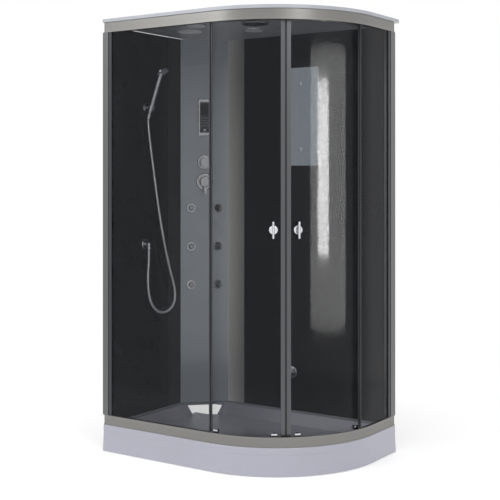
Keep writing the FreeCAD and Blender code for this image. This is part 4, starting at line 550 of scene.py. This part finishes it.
def sweep(shape, path, section):
    """Carries a closed section of (side, up) points along a level path of (x, y) points."""
    rings = []
    count = len(path)
    for i, (x, y) in enumerate(path):
        back = Vector(path[max(i - 1, 0)])
        ahead = Vector(path[min(i + 1, count - 1)])
        here = Vector((x, y))
        into = (here - back).normalized() if i else (ahead - here).normalized()
        out = (ahead - here).normalized() if i < count - 1 else into
        middle = (into + out).normalized()
        side = Vector((middle.y, -middle.x)) / max(0.3, middle.dot(out))
        rings.append([Vector((x + side.x * s, y + side.y * s, z)) for s, z in section])
    loft(shape, rings)


def box_section(side0, side1, z0, z1):
    """Section for sweep: a rectangle."""
    return [(side0, z0), (side1, z0), (side1, z1), (side0, z1)]


def arc_path(radius, start, end, steps):
    """Points along the front curve, angles in degrees from +X."""
    points = []
    for i in range(steps + 1):
        angle = math.radians(start + (end - start) * i / steps)
        points.append((ARC_CENTRE.x + radius * math.cos(angle), ARC_CENTRE.y + radius * math.sin(angle)))
    return points


def rounded_plate(shape, width, height, corner, near, far, place):
    """Plate with rounded corners, square to the local Y axis."""
    steps = 6
    loop = []
    spots = ((1, 1, 0), (-1, 1, 90), (-1, -1, 180), (1, -1, 270))
    for sx, sz, start in spots:
        cx = sx * (width / 2 - corner)
        cz = sz * (height / 2 - corner)
        for i in range(steps + 1):
            angle = math.radians(start + 90.0 * i / steps)
            loop.append((cx + corner * math.cos(angle), cz + corner * math.sin(angle)))
    rings = [[place @ Vector((x, y, z)) for x, z in loop] for y in (near, far)]
    loft(shape, rings)


def column_place(x, z):
    """Frame on the column's face: X along it, -Y into the cabin."""
    turn = Matrix.Rotation(math.radians(45.0), 4, "Z")
    return Matrix.Translation(COLUMN_MID) @ turn @ Matrix.Translation((x, 0.0, z))


def handset_place():
    """Frame of the handset: Z along its handle, -Y to the side of its spray face."""
    turn = Matrix.Rotation(math.radians(90.0), 4, "Z")
    return Matrix.Translation(HANDSET_AT) @ turn @ Matrix.Rotation(HANDSET_LEAN, 4, "X")


# ---------------------------------------------------------------- operators
class CABIN_OT_hose(bpy.types.Operator):
    """Wound steel hose from the handset to the wall outlet"""

    bl_idname = "cabin.hose"
    bl_label = "Hose"

    def execute(self, context):
        line = self.centre_line()
        shape = bmesh.new()
        self.wind(shape, line, context.scene.cabin_sizes.hose_pitch)
        hose = add_piece("shower_hose_wound", shape, "hose", None)
        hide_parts("shower_hose")
        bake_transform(hose)
        return {"FINISHED"}

    def centre_line(self):
        """Points of the route's smooth spline."""
        curve = bpy.data.curves.new("hose_route", "CURVE")
        curve.dimensions = "3D"
        curve.resolution_u = 24
        spline = curve.splines.new("NURBS")
        spline.points.add(len(HOSE_ROUTE) - 1)
        for point, spot in zip(spline.points, HOSE_ROUTE):
            point.co = (*spot, 1.0)
        spline.order_u = 3
        spline.use_endpoint_u = True
        route = bpy.data.objects.new("hose_route", curve)
        bpy.context.scene.collection.objects.link(route)
        bpy.context.view_layer.update()
        mesh = bpy.data.meshes.new_from_object(route)
        line = [v.co.copy() for v in mesh.vertices]
        bpy.data.objects.remove(route)
        bpy.data.meshes.remove(mesh)
        return line

    def wind(self, shape, line, pitch):
        """Tube along the line whose radius rises and falls once in each turn of the steel."""
        sides = 12
        grooves = (0.0, 0.00055, 0.0007, 0.00055)
        normal = Vector((0.0, 1.0, 0.0))
        rings = []
        for i, (spot, along) in enumerate(self.even_spots(line, pitch / len(grooves))):
            normal = (normal - along * normal.dot(along)).normalized()
            across = along.cross(normal)
            radius = HOSE_DIAMETER / 2 - grooves[i % len(grooves)]
            rings.append([spot + normal * x + across * y for x, y in circle(sides, radius)])
        loft(shape, rings)

    def even_spots(self, line, step):
        """Points a step apart along the line, each with the line's direction there."""
        spots = []
        left = 0.0
        for near, far in zip(line, line[1:]):
            run = (far - near).length
            along = (far - near).normalized()
            while left <= run:
                spots.append((near + along * left, along))
                left += step
            left -= run
        spots.append((line[-1].copy(), (line[-1] - line[-2]).normalized()))
        return spots


class CABIN_OT_hose_ends(bpy.types.Operator):
    """Conical nut where the hose meets the handset"""

    bl_idname = "cabin.hose_ends"
    bl_label = "Hose nut"

    def execute(self, context):
        shape = bmesh.new()
        profile = ((0.0073, -0.066), (0.0086, -0.064), (0.0102, -0.050), (0.0104, -0.040), (0.0094, -0.0385),
                   (0.0088, -0.0382))
        turned(shape, profile, handset_place())
        add_piece("handset_hose_nut", shape, "chrome", "hand_shower")
        return {"FINISHED"}


class CABIN_OT_base(bpy.types.Operator):
    """Finishes of the tray, apron, frame, feet and drain"""

    bl_idname = "cabin.base"
    bl_label = "Base"

    def execute(self, context):
        dress("acrylic", "tray", "front_apron")
        dress("zinc", "support_frame")
        dress("nylon", "levelling_feet")
        dress("white", "drain_trap")
        dress("rubber", "drain_seal")
        dress("plated", "drain_cover")
        return {"FINISHED"}


class CABIN_OT_front(bpy.types.Operator):
    """Finishes of the rails, posts and fixed panes"""

    bl_idname = "cabin.front"
    bl_label = "Front"

    def execute(self, context):
        dress("rail", "bottom_rail", "top_rail")
        dress("post", "left_post", "right_post")
        dress("dark_seal", "fixed_glass_seals")
        dress("tinted", "left_fixed_glass", "right_fixed_glass")
        dress("chrome", "frame_screws")
        return {"FINISHED"}


class CABIN_OT_doors(bpy.types.Operator):
    """Finishes of the two sliding doors"""

    bl_idname = "cabin.doors"
    bl_label = "Doors"

    def execute(self, context):
        for side in SIDES:
            dress("tinted", side + "_door_glass")
            dress("stile", side + "_door_seals")
            dress("chrome", side + "_door_handle")
            dress("plated", side + "_door_carriers")
            dress("roller", side + "_door_rear_wheel", side + "_door_lead_wheel")
        return {"FINISHED"}


class CABIN_OT_walls(bpy.types.Operator):
    """Finishes of the walls, column and mirror"""

    bl_idname = "cabin.walls"
    bl_label = "Walls"

    def execute(self, context):
        dress("black", "left_wall", "back_wall")
        dress("column", "column_panel")
        dress("mirror", "mirror")
        dress("chrome", "mirror_screws")
        return {"FINISHED"}


class CABIN_OT_roof(bpy.types.Operator):
    """Finishes of the roof and what is in it"""

    bl_idname = "cabin.roof"
    bl_label = "Roof"

    def execute(self, context):
        dress("roof", "roof_panel")
        dress("plated", "rain_head")
        dress("lens", "ceiling_light")
        dress("white", "speaker", "fan_housing")
        dress("nylon", "fan_impeller")
        return {"FINISHED"}


class CABIN_OT_fittings(bpy.types.Operator):
    """Finishes of the controls, jets, pipes and hand shower"""

    bl_idname = "cabin.fittings"
    bl_label = "Fittings"

    def execute(self, context):
        dress("plated", "control_bezel", "power_key", "knob_roses", "diverter_knob", "mixer_lever")
        dress("display", "control_display")
        dress("brass", "valve_body")
        dress("plated", "jet_roses", *["jet_nozzle_%d" % i for i in range(1, 7)])
        dress("pipe", "jet_manifold", "supply_pipes")
        dress("casing", "steam_generator")
        dress("plated", "steam_outlet", "handset_bracket", "handset")
        dress("chrome", "wall_outlet")
        return {"FINISHED"}


class CABIN_OT_sealant(bpy.types.Operator):
    """Silicone bead on the tray along the walls and the column's foot; its dark grey is partly painted shade,
    standing in for the shadow line in that crease.
    """

    bl_idname = "cabin.sealant"
    bl_label = "Sealant"

    def execute(self, context):
        width = context.scene.cabin_sizes.sealant
        foot = RIM_Z - 0.0002
        hollow = (width * 0.42, RIM_Z + width * 0.3)
        path = [(LEFT_FACE, POST_INNER_Y), (LEFT_FACE, COLUMN_BENDS[0][1]), *COLUMN_BENDS,
                (COLUMN_BENDS[3][0], BACK_FACE), (POST_INNER_X, BACK_FACE)]
        section = [(0.0, foot), (width, foot), hollow, (0.0, RIM_Z + width)]
        shape = bmesh.new()
        sweep(shape, path, section)
        add_piece("tray_sealant", shape, "sealant_painted_shade", "root")
        return {"FINISHED"}


class CABIN_OT_gaskets(bpy.types.Operator):
    """Black gaskets where the fixed panes enter the rails"""

    bl_idname = "cabin.gaskets"
    bl_label = "Gaskets"

    def execute(self, context):
        width = context.scene.cabin_sizes.gasket
        height = width * 0.7
        outer = CURVE_R - FIXED_INSET
        front_y = ARC_CENTRE.y - outer
        left_run = [(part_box("left_post")[1].x, front_y), (ARC_CENTRE.x - FIXED_END, front_y)]
        right_run = arc_path(outer, RIGHT_PANE_DEG, 0.0, 8)
        right_run.append((ARC_CENTRE.x + outer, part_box("right_post")[0].y))
        shape = bmesh.new()
        for path in (left_run, right_run):
            for z0, z1 in ((SILL_TOP, SILL_TOP + height), (HEAD_Z - height, HEAD_Z)):
                sweep(shape, path, box_section(0.0, width, z0, z1))
                sweep(shape, path, box_section(-GLASS - width, -GLASS, z0, z1))
        add_piece("pane_gaskets", shape, "rubber", "root")
        return {"FINISHED"}


class CABIN_OT_magnets(bpy.types.Operator):
    """Magnet strips between the doors, each with a dark lip on its stile's outer face"""

    bl_idname = "cabin.magnets"
    bl_label = "Door strips"

    def execute(self, context):
        width = context.scene.cabin_sizes.magnet
        thick = HALF_GAP * 0.7
        lip_width = 0.004
        end_gap = 0.001
        middle = DOOR_R - GLASS / 2
        ends = (SILL_TOP + end_gap, HEAD_Z - end_gap)
        for side, way in (("left", -1), ("right", 1)):
            near = MEET_DEG + way * math.degrees((HALF_GAP - thick) / middle)
            far = MEET_DEG + way * math.degrees(HALF_GAP / middle)
            lip = MEET_DEG + way * math.degrees((HALF_GAP + lip_width) / STILE_FACE)
            shape = bmesh.new()
            for inner, outer, end, steps in ((middle - width / 2, middle + width / 2, far, 1),
                                             (STILE_FACE - thick, STILE_FACE + thick, lip, 2)):
                prism(shape, arc_path(inner, near, end, steps) + arc_path(outer, end, near, steps), ends)
            add_piece(side + "_magnet_strip", shape, "rubber", side + "_door")
        return {"FINISHED"}


class CABIN_OT_screws(bpy.types.Operator):
    """Cross recesses of the post screws"""

    bl_idname = "cabin.screws"
    bl_label = "Screw recesses"

    def execute(self, context):
        head_radius, head_height = 0.004, 0.0022
        length, width, corner = 0.0045, 0.0009, 0.0002
        lift, upper_lift = 0.0001, 0.00014
        quarter = Matrix.Rotation(math.radians(90.0), 4, "Z")
        low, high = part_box("frame_screws")
        shape = bmesh.new()
        for share in (0.06, 0.5, 0.94):
            z = SILL_TOP + (HEAD_Z - SILL_TOP) * share
            left = Matrix.Translation((low.x + head_radius, POST_INNER_Y + head_height, z))
            right = Matrix.Translation((POST_INNER_X - head_height, high.y - head_radius, z)) @ quarter
            for place in (left, right):
                rounded_plate(shape, length, width, corner, -lift, lift, place)
                rounded_plate(shape, width, length, corner, -lift, upper_lift, place)
        add_piece("screw_recesses", shape, "nylon", "root")
        return {"FINISHED"}


class CABIN_OT_spray_face(bpy.types.Operator):
    """Spray plate and soft nozzles of the handset"""

    bl_idname = "cabin.spray_face"
    bl_label = "Spray face"

    def execute(self, context):
        radius, rise, tips_per_row, row_gap = 0.0262, 0.0008, 7, 0.0072
        bottom, top = SPRAY_HALF - 0.0005, SPRAY_HALF + rise
        profile = ((radius, bottom), (radius, top - rise / 2), (radius - 0.001, top), (0.001, top))
        tip = ((0.0011, 0.0), (0.0009, 0.0010), (0.0004, 0.0011))
        tip_foot = top - 0.0001
        aim = Matrix.Rotation(math.radians(90.0) + SPRAY_TILT, 4, "X")
        place = handset_place() @ Matrix.Translation(SPRAY_AT) @ aim
        plate = bmesh.new()
        turned(plate, profile, place, 48)
        add_piece("spray_plate", plate, "soft_tip", "hand_shower")
        tips = bmesh.new()
        for row in range(context.scene.cabin_sizes.spray_rows + 1):
            for x, y in circle(max(1, row * tips_per_row), row * row_gap):
                turned(tips, tip, place @ Matrix.Translation((x, y, tip_foot)), 10)
        add_piece("spray_tips", tips, "rubber", "hand_shower")
        return {"FINISHED"}


class CABIN_OT_rain_nozzles(bpy.types.Operator):
    """Soft tips in the rain head, and the rings round the lamp and the speaker"""

    bl_idname = "cabin.rain_nozzles"
    bl_label = "Ceiling details"

    def execute(self, context):
        down = Matrix.Rotation(math.radians(180.0), 4, "X")
        tip = ((0.0014, -0.0008), (0.0012, 0.0010), (0.0006, 0.0013))
        section = ((0.0003, 0.0), (0.005, 0.0), (0.0045, 0.0022), (0.0025, 0.0030), (0.0003, 0.0024))
        tips = bmesh.new()
        for count, radius in ((1, 0.0), (8, 0.016), (14, 0.032), (20, 0.048)):
            for x, y in circle(count, radius):
                turned(tips, tip, Matrix.Translation(RAIN_AT + Vector((x, y, 0.0))) @ down, 10)
        add_piece("rain_tips", tips, "soft_tip", "root")
        rings = bmesh.new()
        for spot, radius in ((LAMP_AT, 0.045), (SPEAKER_AT, 0.046)):
            place = Matrix.Translation((spot.x, spot.y, CEILING_Z)) @ down
            hoop_of(rings, [(radius + out, height) for out, height in section], place)
        add_piece("ceiling_rings", rings, "plated", "root")
        return {"FINISHED"}


class CABIN_OT_display_keys(bpy.types.Operator):
    """Window and touch keys printed on the control display"""

    bl_idname = "cabin.display_keys"
    bl_label = "Display keys"

    def execute(self, context):
        near, far = -DISPLAY_FACE + 0.0001, -DISPLAY_FACE - 0.00015
        window_z, corner_x, corner_z = PANEL_Z + 0.042, 0.0165, PANEL_Z - 0.0675
        first_z, step_x, step_z = PANEL_Z - 0.003, 0.0145, 0.0135
        window = bmesh.new()
        rounded_plate(window, 0.041, 0.062, 0.002, near, far, column_place(0.0, window_z))
        for x in (-corner_x, corner_x):
            rounded_plate(window, 0.009, 0.009, 0.001, near, far, column_place(x, corner_z))
        add_piece("display_window", window, "dark_key", "root")
        keys = bmesh.new()
        for row in range(4):
            for column in (-1, 0, 1):
                place = column_place(column * step_x, first_z - row * step_z)
                rounded_plate(keys, 0.0105, 0.0062, 0.0014, near, far, place)
        add_piece("display_touch_keys", keys, "key", "root")
        return {"FINISHED"}


class CABIN_OT_knob_marks(bpy.types.Operator):
    """Pointer on the diverter knob, and the hot and cold marks of the mixer"""

    bl_idname = "cabin.knob_marks"
    bl_label = "Knob marks"

    def execute(self, context):
        pointer_z, lift = DIVERTER_Z + 0.015, 0.0002
        mark_x, mark_z = 0.030, MIXER_Z + 0.021
        profile = ((0.0024, 0.0045), (0.0024, 0.0069), (0.0016, 0.0072))
        pointer = bmesh.new()
        rounded_plate(pointer, 0.0016, 0.011, 0.0007, -KNOB_FACE + lift, -KNOB_FACE - lift,
                      column_place(0.0, pointer_z))
        add_piece("diverter_pointer", pointer, "nylon", "diverter")
        outwards = Matrix.Rotation(math.radians(90.0), 4, "X")
        for name, x in (("hot", -mark_x), ("cold", mark_x)):
            dot = bmesh.new()
            turned(dot, profile, column_place(x, mark_z) @ outwards, 20)
            add_piece(name + "_mark", dot, name, "root")
        return {"FINISHED"}


class CABIN_OT_stage(bpy.types.Operator):
    """Camera of the photograph, pale floor, soft lamps and white surroundings"""

    bl_idname = "cabin.stage"
    bl_label = "Stage"

    def execute(self, context):
        self.camera()
        self.floor()
        self.lamps()
        self.world()
        context.scene.view_settings.view_transform = "Standard"
        return {"FINISHED"}

    def camera(self):
        """Level camera whose frame is shifted down, so that upright edges stay upright."""
        data = bpy.data.cameras.new("photo_camera")
        data.sensor_width = SENSOR
        data.lens = FOCAL_PIXELS / PHOTO_SIDE * SENSOR
        data.shift_y = -(PHOTO_SIDE / 2 - HORIZON_PIXEL) / PHOTO_SIDE
        camera = bpy.data.objects.new("photo_camera", data)
        camera.location = CAMERA_AT
        camera.rotation_mode = "QUATERNION"
        camera.rotation_quaternion = CAMERA_HEADING.to_track_quat("-Z", "Y")
        bpy.context.scene.collection.objects.link(camera)
        bpy.context.scene.camera = camera

    def seen_directly(self, recipe):
        """1 for rays that the camera, a gloss or a glass sends, 0 for the light that falls on things."""
        path = recipe.node("ShaderNodeLightPath").output.node.outputs
        camera = Socket(recipe, path["Is Camera Ray"])
        glossy = Socket(recipe, path["Is Glossy Ray"])
        through = Socket(recipe, path["Is Transmission Ray"])
        return camera.maths("MAXIMUM", camera, glossy.maths("MAXIMUM", glossy, through))

    def floor(self):
        """Pale floor that keeps a soft shadow under the cabin and fades into the white surroundings."""
        half, z, glow = 14.0, -0.0005, 0.34
        fade_start, fade_end = 1.2, 3.0
        mesh = bpy.data.meshes.new("studio_floor")
        corners = [(-half, -half, z), (half, -half, z), (half, half, z), (-half, half, z)]
        mesh.from_pydata(corners, [], [(0, 1, 2, 3)])
        floor = bpy.data.objects.new("studio_floor", mesh)
        bpy.context.scene.collection.objects.link(floor)
        recipe = Recipe("studio_floor")
        recipe.set(Base_Color=(0.80, 0.80, 0.80), Roughness=0.9, Specular_IOR_Level=0.0)
        recipe.set(Emission_Color=(1.0, 1.0, 1.0), Emission_Strength=glow)
        away = recipe.node("ShaderNodeVectorMath", {"operation": "LENGTH"}, {0: recipe.place()}, output=1)
        fade = {"Value": away, "From Min": fade_start, "From Max": fade_end, "To Min": 1.0, "To Max": 0.0}
        recipe.set(Alpha=recipe.node("ShaderNodeMapRange", {"interpolation_type": "SMOOTHSTEP"}, fade))
        mesh.materials.append(recipe.owner)

    def lamps(self):
        """Soft lamps: place, target, size in metres and watts. The two panels show only in the door panes."""
        spots = (
            ("key_lamp", (-2.4, -4.6, 4.0), (0.0, 0.0, 1.0), (2.2, 2.2), 72.0, True),
            ("side_lamp", (3.9, -2.4, 3.9), (0.3, 0.0, 1.0), (1.4, 1.8), 44.0, True),
            ("top_lamp", (0.4, -1.2, 4.6), (0.0, 0.0, 0.8), (3.2, 3.2), 52.0, True),
            ("back_lamp", (-0.8, 4.6, 3.0), (0.0, 0.0, 1.2), (2.6, 2.6), 42.0, True),
            ("narrow_panel", (3.47, -0.31, 1.4), (0.477, -0.152, 1.4), (0.72, 1.3), 130.0, False),
            ("wide_panel", (3.48, 0.08, 1.25), (0.477, -0.05, 1.25), (2.55, 2.1), 120.0, False),
        )
        panes = bpy.data.collections.new("panes_that_show_panels")
        for side in SIDES:
            panes.objects.link(NODES[side + "_door_glass"])
        for name, place, target, size, power, lights_all in spots:
            data = bpy.data.lights.new(name, "AREA")
            data.shape = "RECTANGLE"
            data.size, data.size_y = size
            data.energy = power
            lamp = bpy.data.objects.new(name, data)
            lamp.location = place
            if not lights_all:
                lamp.visible_diffuse = False
                lamp.light_linking.receiver_collection = panes
            aim = Vector(target) - Vector(place)
            lamp.rotation_mode = "QUATERNION"
            lamp.rotation_quaternion = aim.to_track_quat("-Z", "Y")
            bpy.context.scene.collection.objects.link(lamp)

    def world(self):
        """White to the camera, to gloss and through glass, and an even pale light on everything else."""
        fill = 0.62
        recipe = Recipe("studio_world", "worlds", "Background")
        recipe.set(Color=(1.0, 1.0, 1.0), Strength=fill + (1.0 - fill) * self.seen_directly(recipe))
        bpy.context.scene.world = recipe.owner


OPERATORS = (
    CABIN_OT_stage,
    CABIN_OT_hose,
    CABIN_OT_hose_ends,
    CABIN_OT_base,
    CABIN_OT_front,
    CABIN_OT_doors,
    CABIN_OT_walls,
    CABIN_OT_roof,
    CABIN_OT_fittings,
    CABIN_OT_sealant,
    CABIN_OT_gaskets,
    CABIN_OT_magnets,
    CABIN_OT_screws,
    CABIN_OT_spray_face,
    CABIN_OT_rain_nozzles,
    CABIN_OT_display_keys,
    CABIN_OT_knob_marks,
)


class CABIN_PT_panel(bpy.types.Panel):
    """Settings of the cabin, and a button for each group of its pieces"""

    bl_idname = "CABIN_PT_panel"
    bl_label = "Steam Shower Cabin"
    bl_space_type = "VIEW_3D"
    bl_region_type = "UI"
    bl_category = "Cabin"

    def draw(self, context):
        for group in (context.scene.cabin_sizes, context.scene.cabin_colours):
            box = self.layout.box()
            for name in group.bl_rna.properties.keys():
                if name not in ("rna_type", "name"):
                    box.prop(group, name)
        for operator in OPERATORS:
            self.layout.operator(operator.bl_idname)


CLASSES = (CabinSizes, CabinColours) + OPERATORS + (CABIN_PT_panel,)


def register():
    for cls in CLASSES:
        bpy.utils.register_class(cls)
    bpy.types.Scene.cabin_sizes = PointerProperty(type=CabinSizes)
    bpy.types.Scene.cabin_colours = PointerProperty(type=CabinColours)


def unregister():
    del bpy.types.Scene.cabin_colours
    del bpy.types.Scene.cabin_sizes
    for cls in reversed(CLASSES):
        bpy.utils.unregister_class(cls)


def main():
    register()
    for operator in OPERATORS:
        group, name = operator.bl_idname.split(".")
        getattr(getattr(bpy.ops, group), name)()


if __name__ == "__main__":
    main()
